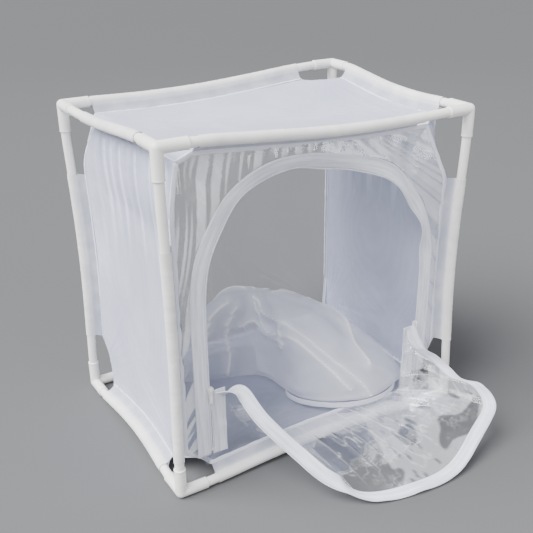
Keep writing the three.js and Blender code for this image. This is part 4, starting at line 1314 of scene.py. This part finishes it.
class ENCLOSURE_OT_door_zip(Operator):
    """The door's waved zip tape and coil, and the tapes that are still zipped to it"""

    bl_idname = "enclosure.door_zip"
    bl_label = "Door zip"

    def execute(self, context):
        sizes = settings("door")
        door = Door()
        outer, inner, at = door.edges(420)
        total = at[-1]
        arched = smooth_step(at, *WAVE_START) * (1 - smooth_step(at - total, -WAVE_END[0], -WAVE_END[1]))
        wave = ripple(at, WAVE_PITCH, WAVE_SEED, 1) * arched * sizes.wave
        part = np.linspace(0, 1, 12)[None, :, None]
        grid = outer[:, None] * (1 - part) + inner[:, None] * part
        inward = unit(inner - outer)
        grid = grid + inward[:, None] * (wave[:, None] * part[..., 0] ** 2)[..., None]
        curl = np.interp(at / total, *np.transpose(TAPE_CURL))
        grid[..., 1] += (wave + soften(curl, 40))[:, None] * part[..., 0] ** 1.5
        start, end = np.searchsorted(at, (COIL_START, total - COIL_START))
        coil_line = grid[start:end, -1] + inward[start:end] * sizes.coil * COIL_SEAT
        below = np.array([TAPE_TAIL, TAPE_TAIL / 2])[:, None, None] * np.array([0, 0, 1])
        grid = np.concatenate([grid[:1] - below, grid, grid[-1:] - below[::-1]])
        piece = tape_piece("door_tape", grid, sizes.tape_width)
        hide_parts("door_zip_tape")
        declare(grid, (sizes.tape_width * TAPE_EASE, float(total)))
        coil = closed_tube("door_coil", coil_line, sizes.coil / 2, COIL_SIDES, "zip_coil")
        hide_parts("door_zip_coil")
        for side in ("left", "right"):
            self.zipped(side, sizes)
        return {"FINISHED"}

    def zipped(self, side, sizes):
        """The flap's tape that is still zipped, with its coil."""
        node = f"zipped_tape_{side}"
        low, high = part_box(node)
        sign = -1 if side == "left" else 1
        plane = (low[1] + high[1]) / 2
        coil_x = (low[0] if sign < 0 else high[0]) - sign * sizes.coil / 2
        free_x = high[0] if sign < 0 else low[0]
        tape_x = free_x + sign * sizes.tape_width
        z = np.linspace(low[2] - TAPE_TAIL, high[2], 70)
        x = np.linspace(tape_x, free_x, 12)
        grid = np.zeros((len(z), len(x), 3))
        grid[..., 0] = x[None, :]
        grid[..., 2] = z[:, None]
        bend = ripple(z, ZIPPED_BEND_PITCH, 4 + sign, 2)[:, None] * np.linspace(0, 1, len(x))[None, :] ** 1.4
        grid[..., 1] = plane + bend * ZIPPED_BEND_DEPTH
        piece = tape_piece(f"{node}_weave", grid, sizes.tape_width)
        line = np.stack([np.full(len(z), coil_x), np.full(len(z), plane), z], axis=1)
        closed_tube(f"zipped_coil_{side}", line, sizes.coil / 2, COIL_SIDES, "zip_coil")
        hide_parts(node)
        size = (sizes.tape_width, float(high[2] - low[2]) + TAPE_TAIL)
        declare(grid, size)


class ENCLOSURE_OT_zip_parts(Operator):
    """Sliders, pulls and stops of moulded plastic"""

    bl_idname = "enclosure.zip_parts"
    bl_label = "Sliders and pulls"

    def execute(self, context):
        for kind in ("slider", "pull", "stop"):
            for side in ("left", "right"):
                solid = nodes[f"zip_{kind}_{side}"]
                solid.data.materials.clear()
                solid.data.materials.append(finish_of("moulded_plastic"))
                edge = solid.modifiers.new("edge", "BEVEL")
                edge.width = EDGE_ROUNDING
                edge.segments = 2
                edge.limit_method = "ANGLE"
        return {"FINISHED"}


# The flap


# Where the flap folds out of the front, from the left zip end to the right one: shares of the fold's half
# width, and of the height from the bottom seam to the open end of the zip
FOLD_SHARES = [
    (-1, 0.9), (-0.95, 0.74), (-0.85, 0.48), (-0.69, 0.22), (-0.48, 0.07), (-0.25, 0.02), (0, 0.015),
    (0.3, 0.015), (0.6, 0.015), (0.85, 0.02), (0.96, 0.08), (0.99, 0.4), (0.99, 0.68), (1, 0.9),
]

# The flap's free rim from the left zip end round to the right one: shares of the door's half width, of the
# height of the zip's open end and of the flap's reach
RIM_SHARES = [
    (-0.86, 0.99, 0.04), (-0.79, 0.995, 0.065), (-0.71, 0.96, 0.11), (-0.635, 0.75, 0.28),
    (-0.465, 0.43, 0.5), (-0.33, 0.22, 0.71), (-0.13, 0.05, 0.9), (0.22, 0.03, 1), (0.56, 0.055, 1),
    (0.88, 0.24, 0.88), (1.1, 0.41, 0.76), (1.09, 0.545, 0.61), (1.035, 0.53, 0.42), (1.03, 0.575, 0.28),
    (0.97, 0.68, 0.2), (0.875, 0.8, 0.15), (0.845, 0.93, 0.095), (0.83, 1.06, 0.045),
]


# Where the flat side of the flap's tape faces on its way down from the left zip end
FLAP_TAPE_FACES = (-0.48, -0.77, 0.43)

# The fold's film laps over the zipped tapes. The foot's film stops short of them and starts above the seam.
FOLD_LAP = 0.006
FOOT_GAP = 0.0003
FOOT_LIFT = 0.0018

# Waves of the flap's tape, and the least height of its film above the ground
FLAP_WAVE_PITCH, FLAP_WAVE_DEPTH = 0.07, 0.0018
FILM_CLEARANCE = 0.002


def curve_through(points, count):
    """A smooth curve through points, at even steps along it."""
    points = np.array(points, float)
    gaps = np.linalg.norm(np.diff(points, axis=0), axis=1) ** 0.5
    knots = np.concatenate([[0], np.cumsum(gaps)])
    fine = spline(knots, points, np.linspace(0, knots[-1], 40 * len(points)))
    return evenly(fine, count)


class Flap:
    """The open flap's fold, rim and the directions of its tape, at even steps along the rim."""

    def __init__(self, count):
        sizes = settings("door")
        low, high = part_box("zipped_tape_left")
        self.plane = (low[1] + high[1]) / 2
        self.open_height, zipped = high[2], abs(high[0])
        low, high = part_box("door_zip_tape")
        door_half = (high[0] - low[0]) / 2
        shares = curve_through([(x, 0, z) for x, z in FOLD_SHARES], 400)
        rim = curve_through([
            (x * door_half, self.plane - y * sizes.flap_reach, z * self.open_height) for x, z, y in RIM_SHARES
        ], count)
        index = np.linspace(0, len(shares) - 1, count)
        self.shares = [np.interp(index, np.arange(len(shares)), shares[:, k]) for k in (0, 2)]
        self.fold = self.fold_at(zipped + FOLD_LAP)[1]
        self.upright = self.fold_at(zipped - FOOT_GAP)
        self.t = np.linspace(0, 1, count)
        across = unit(rim - self.fold)
        flat = unit(np.cross(np.gradient(rim, axis=0), FLAP_TAPE_FACES))
        turned = smooth_step(rim[:, 2], 0.008, 0.050) * (1 - smooth_step(rim[:, 0], -0.07, 0.05))
        turned = (turned * smooth_step(self.t, 0.0, 0.075))[:, None]
        self.across = unit(across * (1 - turned) + flat * turned)
        self.rim = rim + self.across * turned * sizes.flap_tape_width * 0.4

    def fold_at(self, width):
        """Points on the bottom seam, and on the fold above them, for a half width of the fold."""
        rail = the_cage().pipes["bottom_front"]
        low, high = rail.sleeve
        share_x, share_z = self.shares
        x = np.clip(share_x, -1, 1) * width
        foot = rail.seam(np.clip((x - low) / (high - low), 0, 1))
        foot[:, 0] = x
        foot[:, 2] += FOOT_LIFT
        fold = foot.copy()
        fold[:, 2] += share_z * (self.open_height - foot[:, 2])
        fold[:, 1] += (self.plane - foot[:, 1]) * np.minimum(2 * share_z, 1)
        return foot, fold


class ENCLOSURE_OT_flap(Operator):
    """The open door flap: crinkled film, its zip tape and coil, and the film that stays upright"""

    bl_idname = "enclosure.flap"
    bl_label = "Door flap"

    def execute(self, context):
        sizes = settings("door")
        flap = Flap(300)
        width = sizes.flap_tape_width
        part = np.linspace(0, 1, 12)[None, :, None]
        wave = ripple(distances(flap.rim), FLAP_WAVE_PITCH, 5, 2)[:, None] * FLAP_WAVE_DEPTH
        grid = flap.rim[:, None] - flap.across[:, None] * (width * (1 - part))
        side = normals_of(grid)
        grid = grid + side * (wave * part[..., 0])[..., None]
        tape = tape_piece("flap_tape", grid, width, "door_flap")
        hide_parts("flap_zip_tape")
        length_round = float(distances(flap.rim)[-1])
        declare(grid, (width * TAPE_EASE, length_round))
        line = grid[:, -1] + flap.across * sizes.coil * COIL_SEAT
        coil = closed_tube("flap_coil", line, sizes.coil / 2, COIL_SIDES, "zip_coil",
                           "door_flap")
        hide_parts("flap_zip_coil")
        self.film(flap, grid[:, 0], sizes)
        self.foot(flap)
        return {"FINISHED"}

    def film(self, flap, edge, sizes):
        """The flap's film from the fold to the tape, crowned and creased."""
        keep = slice(8, -8)
        fold, edge = flap.fold[keep] - np.array([0, 0.001, 0]), edge[keep]
        v = np.linspace(0, 1, 64)[None, :, None]
        grid = fold[:, None] * (1 - v) + edge[:, None] * v
        lengths = distances(edge)
        rays = ripple(lengths, 0.070, 21, 2)[:, None]
        rise = np.sin(math.pi * v[..., 0])
        crown = sizes.flap_crown * np.sin(math.pi * flap.t[keep])[:, None]
        sharp = np.maximum(1 - np.abs(rays) * 9.0, 0) ** 2
        creases = sharp * 0.35 * (1 - v[..., 0]) ** 0.5 + cloud(grid, 0.075, 3.0)
        creases = creases + cloud(grid, 0.02, 8.0) * 0.12
        grid[..., 2] += crown * rise
        grid = grid + normals_of(grid) * (creases * rise**0.7 * sizes.crinkle)[..., None]
        grid[..., 2] = np.maximum(grid[..., 2], FILM_CLEARANCE)
        # The flap's white marks are partly the film's own milkiness at its creases and partly painted
        # reflection: a veil right of a slanting line, a patch near the start of the rim, thin lines, and the
        # sharp creases near the fold.
        side = grid[..., 0] - 0.067 - (grid[..., 1] + 0.1195) * 0.26
        holes = smooth_step(cloud(grid, 0.055, 11.0), 0.08, 0.15)
        dashes = smooth_step(cloud(grid * (1, 0.3, 1), 0.009, 13.0), 0.38, 0.46)
        veil = smooth_step(side + cloud(grid, 0.05, 5.0) * 0.012, 0.0, 0.004)
        veil = veil * (1 - holes) * (1 - dashes * 0.8) * 0.42
        thin = np.maximum(1 - np.abs(cloud(grid * (1, 0.4, 1), 0.022, 19.0)) * 16, 0)
        thin_white_lines = thin * smooth_step(cloud(grid, 0.03, 23.0), 0.0, 0.2) * 0.6
        start = smooth_step(flap.t[keep], 0.04, 0.10) * (1 - smooth_step(flap.t[keep], 0.22, 0.30))
        patch = smooth_step(cloud(grid, 0.030, 17.0), 0.0, 0.12) * start[:, None] * 0.4
        milky_and_reflection = smooth_step(sharp, 0.25, 0.9) * (1 - v[..., 0]) ** 1.2 * 0.8 + veil + patch + thin_white_lines * rise
        piece = grid_piece("door_flap_sheet", grid, "crinkled_film", None, {"fold": milky_and_reflection})
        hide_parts("door_flap_film")
        declare(grid, (0.46, 0.26))
        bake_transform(piece)

    def foot(self, flap):
        """The film below the fold, upright between the zipped tapes."""
        low, high = flap.upright
        v = np.linspace(0, 1, 16)[None, :, None]
        grid = low[:, None] * (1 - v) + high[:, None] * v
        grid[..., 1] += cloud(grid, 0.03, 4.0) * 0.0016 * np.sin(math.pi * v[..., 0])
        piece = grid_piece("door_foot_film", grid, "drawn_film")
        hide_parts("door_film_foot")
        declare(grid, (0.40, 0.05))


# The net access sleeve


# The rays that read the heap's form start this high and sweep from nearly upright to below level, in degrees
HEAP_CORE_HEIGHT = 0.045
RAY_SWEEP = (89.8, -40, 260)


class Heap:
    """The heaped net's form, read from its solid by rays from inside: rows run round it, columns from its top
    to its foot."""

    def __init__(self, turns, steps):
        self.tree = tree_of("access_sleeve")
        points = points_of("access_sleeve")
        low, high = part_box("access_sleeve")
        top = points[points[:, 2] > high[2] - 0.004].mean(axis=0)
        self.core = Vector((top[0], top[1], HEAP_CORE_HEIGHT))
        round_about = np.linspace(0, 2 * math.pi, turns, endpoint=False)
        self.grid = self.rounded(np.array([evenly(self.profile(turn), steps) for turn in round_about]))

    def profile(self, turn):
        """Points from the top down to the foot in one direction."""
        made = []
        for rise in np.radians(np.linspace(*RAY_SWEEP)):
            level = math.cos(rise)
            ray = Vector((level * math.cos(turn), level * math.sin(turn), math.sin(rise)))
            place = self.tree.ray_cast(self.core, ray)[0]
            if place is not None:
                made.append(place)
            elif rise < 0.3 and made:
                break
        return np.array(made)

    def rounded(self, grid):
        """The form with the facets of its solid evened out."""
        for _ in range(5):
            grid = (np.roll(grid, 1, axis=0) + 2 * grid + np.roll(grid, -1, axis=0)) / 4
            grid[:, 1:-1] = (grid[:, :-2] + 2 * grid[:, 1:-1] + grid[:, 2:]) / 4
        return grid


# The heaped net's folds, each as points of a turn in degrees from the right and a share of the way from the
# heap's top to its foot
FOLD_LINES = [
    [(197, 0.08), (250, 0.12), (265, 0.22), (271, 0.41), (280, 0.54), (285, 0.70), (292, 0.89), (294, 0.99)],
    [(215, 0.13), (258, 0.27), (266, 0.45), (275, 0.58), (281, 0.73), (287, 0.92)],
    [(181, 0.42), (198, 0.35), (246, 0.35), (264, 0.46), (267, 0.52)],
    [(325, 0.30), (318, 0.48), (312, 0.57), (303, 0.67), (300, 0.82)],
    [(269, 0.42), (267, 0.59)],
    [(168, 0.25), (168, 0.39), (169, 0.48), (170, 0.60), (171, 0.85)],
    [(172, 0.24), (173, 0.39), (174, 0.54), (176, 0.73), (176, 0.96)],
    [(28, 0.10), (36, 0.50), (50, 0.97)],
    [(82, 0.08), (95, 0.50), (98, 0.97)],
    [(120, 0.12), (131, 0.50), (124, 0.97)],
    [(350, 0.18), (343, 0.60), (352, 0.97)],
    [(336, 0.10), (333, 0.50), (326, 0.97)],
]

# A fold's crest and the swell round it: how wide each is, how high it stands and how white it shows, partly
# as denser net where it folds over and partly as a painted highlight
CREST_WIDTH, CREST_HEIGHT, CREST_HIGHLIGHT_WIDTH, CREST_OPACITY_AND_HIGHLIGHT = 0.0032, 0.0016, 0.0019, 0.7
SWELL_WIDTH, SWELL_HEIGHT, SWELL_OPACITY_AND_HIGHLIGHT = 0.012, 0.0045, 0.22

# The front layer lies this share of the way from the heap's core to the outer net, and ends at this turn
LAYER_SHARE = 0.965
LAYER_END = 352
LAYER_LIFT = 0.003

# The left edge of the net's front layer, in the same terms
LAYER_EDGE = [(184, 0.40), (209, 0.57), (232, 0.77), (246, 0.93), (252, 1.00)]


class ENCLOSURE_OT_net_sleeve(Operator):
    """The access sleeve of thin net, heaped behind its seam band"""

    bl_idname = "enclosure.net_sleeve"
    bl_label = "Net sleeve"

    def execute(self, context):
        heap = Heap(460, 132)
        outer, crest = self.folded(heap.grid)
        piece = grid_piece("sleeve_net_outer", outer, "tulle", values={"fold": crest}, round_rows=True)
        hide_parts("access_sleeve")
        declare(outer, (0.52, 0.50))
        self.layer(outer, heap.core)
        self.band()
        return {"FINISHED"}

    def folded(self, grid):
        """The net raised along its folds, and how close each point lies to a crest, as the whiteness it is
        given there: partly denser net, partly a painted highlight.
        """
        rows, columns = grid.shape[:2]
        soft = cloud(grid, 0.060, 1.0) * 0.0045
        soft += (0.5 - np.abs(cloud(grid, 0.085, 7.0))) * 0.005 + cloud(grid, 0.025, 3.0) * 0.0005
        crest = np.zeros((rows, columns))
        for line in FOLD_LINES:
            turn, share_down = curve_through([(t / 100, s, 0) for t, s in line], 90)[:, :2].T
            i = (np.round(turn * 100 / 360 * rows).astype(int)) % rows
            j = np.clip(np.round(share_down * (columns - 1)).astype(int), 0, columns - 1)
            spots = soften(grid[i, j], 6)
            away = np.full((rows, columns), 1.0)
            for spot in spots:
                away = np.minimum(away, np.linalg.norm(grid - spot, axis=2))
            swell = np.exp(-((away / SWELL_WIDTH) ** 2))
            soft += swell * SWELL_HEIGHT + np.exp(-((away / CREST_WIDTH) ** 2)) * CREST_HEIGHT
            # Lighter and more opaque along each crest and its swell: partly the denser net of the fold,
            # partly a painted highlight.
            white = np.exp(-((away / CREST_HIGHLIGHT_WIDTH) ** 2)) * CREST_OPACITY_AND_HIGHLIGHT + swell * SWELL_OPACITY_AND_HIGHLIGHT
            crest = np.maximum(crest, white)
        down = np.linspace(0, 1, columns)[None, :]
        edge = smooth_step(down, 0.0, 0.25) * (1 - smooth_step(down, 0.93, 1.0))
        normal = normals_of(grid)
        normal *= np.sign((normal * (grid - grid.mean(axis=(0, 1)))).sum(axis=2, keepdims=True).mean())
        return grid + normal * (soft * edge)[..., None], crest

    def layer(self, outer, core):
        """The net's front layer, just inside the outer one."""
        rows, columns = outer.shape[:2]
        down = np.linspace(0.06, 1, 110)
        left = np.interp(down, [s for _, s in LAYER_EDGE], [t for t, _ in LAYER_EDGE])
        part = np.linspace(0, 1, 150)
        turn = left[:, None] + (LAYER_END - left)[:, None] * part[None, :]
        i = np.clip((turn / 360 * rows), 0, rows - 1.001)
        j = np.broadcast_to((down * (columns - 1))[:, None], turn.shape)
        low_i, low_j = i.astype(int), np.minimum(j.astype(int), columns - 2)
        fi, fj = (i - low_i)[..., None], (j - low_j)[..., None]
        high_i = (low_i + 1) % rows
        grid = (outer[low_i, low_j] * (1 - fi) + outer[high_i, low_j] * fi) * (1 - fj)
        grid += (outer[low_i, low_j + 1] * (1 - fi) + outer[high_i, low_j + 1] * fi) * fj
        core = np.array([core[0], core[1], 0.04])
        lift = cloud(grid, 0.05, 21.0) * LAYER_LIFT
        grid = core + (grid - core) * LAYER_SHARE + normals_of(grid) * lift[..., None]
        width = np.linalg.norm(grid - grid[:, :1], axis=2)
        # The layer's cut edge shows lighter and more opaque: partly the net seen edge-on, partly a painted
        # highlight.
        crest = np.exp(-((width / 0.0022) ** 2)) * 0.6 + np.exp(-width / 0.03) * 0.10
        piece = grid_piece("sleeve_net_front", grid, "tulle", values={"fold": crest})
        declare(grid, (0.36, grid_area(grid) / 0.36 * 1.02))

    def band(self):
        """The oval band that the net is sewn to."""
        points = points_of("sleeve_seam_band")
        flat = points[:, :2].mean(axis=0)
        turn = np.arctan2(points[:, 1] - flat[1], points[:, 0] - flat[0])
        rings = []
        for angle in np.linspace(-math.pi, math.pi, 240, endpoint=False):
            away = (turn - angle + math.pi) % (2 * math.pi) - math.pi
            weight = np.exp(-((away / 0.12) ** 2) / 2)[:, None]
            rings.append((points * weight).sum(axis=0) / weight.sum())
        fine = np.array(rings)
        height = float(np.ptp(points[np.abs(turn) < 0.12][:, 2]))
        v = np.linspace(-0.5, 0.5, 8)
        grid = fine[:, None] + np.array([0, 0, 1]) * (v * height)[None, :, None]
        wave = ripple(distances(fine), 0.03, 2, 2)[:, None] * 0.0006
        away = fine - fine.mean(axis=0)
        away[:, 2] = 0
        grid = grid + unit(away)[:, None] * wave[..., None]
        values = tape_values(grid, height)
        piece = grid_piece("seam_band_weave", grid, "band_net", values=values, round_rows=True)
        thicken(piece, settings("door").tape_thickness)
        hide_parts("sleeve_seam_band")
        declare(grid, (height, float(distances(fine)[-1])))


# The studio

FLOOR_HALF = 20.0
WORLD_COLOUR = (0.86, 0.89, 0.94, 1)
WORLD_STRENGTH = 0.34

# Each soft light's place, width and height, and power in watts
LIGHTS = {
    "key_light": ((-1.6, -1.7, 2.3), (1.8, 1.8), 62),
    "fill_light": ((2.1, -2.2, 0.9), (0.9, 1.8), 42),
    "back_light": ((1.4, 2.6, 2.0), (2.0, 1.2), 16),
}

# The sky light's strength, and its spread and turn in degrees
SKY_STRENGTH = 9.2
SKY_SPREAD = 50
SKY_TURN = (-4, -38, 0)


def area_light(name, place, target, size, power):
    """A soft light that faces a target."""
    lamp = bpy.data.lights.new(name, "AREA")
    lamp.shape = "RECTANGLE"
    lamp.size, lamp.size_y = size
    lamp.energy = power
    item = added(name, lamp)
    item.location = place
    item.rotation_euler = (Vector(target) - Vector(place)).to_track_quat("-Z", "Y").to_euler()


class ENCLOSURE_OT_stage(Operator):
    """Plain pale floor, soft lights and the camera"""

    bl_idname = "enclosure.stage"
    bl_label = "Stage"

    def execute(self, context):
        corners = [(x * FLOOR_HALF, y * FLOOR_HALF, 0) for x, y in ((-1, -1), (1, -1), (1, 1), (-1, 1))]
        mesh = bpy.data.meshes.new("studio_floor")
        mesh.from_pydata(corners, [], [(0, 1, 2, 3)])
        mesh.materials.append(finish_of("studio_floor"))
        floor = added("studio_floor", mesh)
        world = bpy.data.worlds.new("studio")
        world.use_nodes = True
        sky = world.node_tree.nodes["Background"].inputs
        sky["Color"].default_value = WORLD_COLOUR
        sky["Strength"].default_value = WORLD_STRENGTH
        context.scene.world = world
        middle = (0, MIDDLE[1], 0.3)
        for name, (place, size, power) in LIGHTS.items():
            area_light(name, place, middle, size, power)
        lamp = bpy.data.lights.new("sky_light", "SUN")
        lamp.energy = SKY_STRENGTH
        lamp.angle = math.radians(SKY_SPREAD)
        item = added("sky_light", lamp)
        item.rotation_euler = [math.radians(turn) for turn in SKY_TURN]
        self.camera(context)
        return {"FINISHED"}

    def camera(self, context):
        """The camera at the photographed angle."""
        studio = settings("studio")
        lens = bpy.data.cameras.new("camera")
        lens.lens = studio.lens
        lens.shift_x = -studio.shift
        lens.shift_y = studio.shift
        camera = added("camera", lens)
        a, e = studio.azimuth, studio.elevation
        back = Vector((math.sin(a) * math.cos(e), -math.cos(a) * math.cos(e), math.sin(e)))
        turn = (-back).to_track_quat("-Z", "Y").to_matrix() @ Matrix.Rotation(studio.roll, 3, "Z")
        place = Vector(studio.place) + Vector((0, MIDDLE[1], 0))
        camera.matrix_world = Matrix.Translation(place) @ turn.to_4x4()
        context.scene.camera = camera


class ENCLOSURE_PT_pieces(Panel):
    """Lists the pieces of the enclosure and their sizes"""

    bl_idname = "ENCLOSURE_PT_pieces"
    bl_label = "Butterfly Enclosure"
    bl_space_type = "VIEW_3D"
    bl_region_type = "UI"
    bl_category = "Enclosure"

    def draw(self, context):
        for operator in OPERATORS:
            self.layout.operator(operator.bl_idname)
        for name, group in GROUPS.items():
            box = self.layout.box()
            for key in group.__annotations__:
                box.prop(getattr(context.scene, name), key)


OPERATORS = [
    ENCLOSURE_OT_pipes,
    ENCLOSURE_OT_fittings,
    ENCLOSURE_OT_sleeves,
    ENCLOSURE_OT_bindings,
    ENCLOSURE_OT_panels,
    ENCLOSURE_OT_front_film,
    ENCLOSURE_OT_door_zip,
    ENCLOSURE_OT_zip_parts,
    ENCLOSURE_OT_flap,
    ENCLOSURE_OT_net_sleeve,
    ENCLOSURE_OT_stage,
]


def register():
    """Adds the classes and the scene's sizes."""
    for group in GROUPS.values():
        bpy.utils.register_class(group)
    for operator in OPERATORS:
        bpy.utils.register_class(operator)
    bpy.utils.register_class(ENCLOSURE_PT_pieces)
    for name, group in GROUPS.items():
        setattr(bpy.types.Scene, name, PointerProperty(type=group))


def unregister():
    """Takes them away again."""
    for name in GROUPS:
        delattr(bpy.types.Scene, name)
    bpy.utils.unregister_class(ENCLOSURE_PT_pieces)
    for item in reversed([*GROUPS.values(), *OPERATORS]):
        bpy.utils.unregister_class(item)


def main():
    """Makes every piece in order."""
    register()
    for operator in OPERATORS:
        group, name = operator.bl_idname.split(".")
        getattr(getattr(bpy.ops, group), name)()


if __name__ == "__main__":
    main()
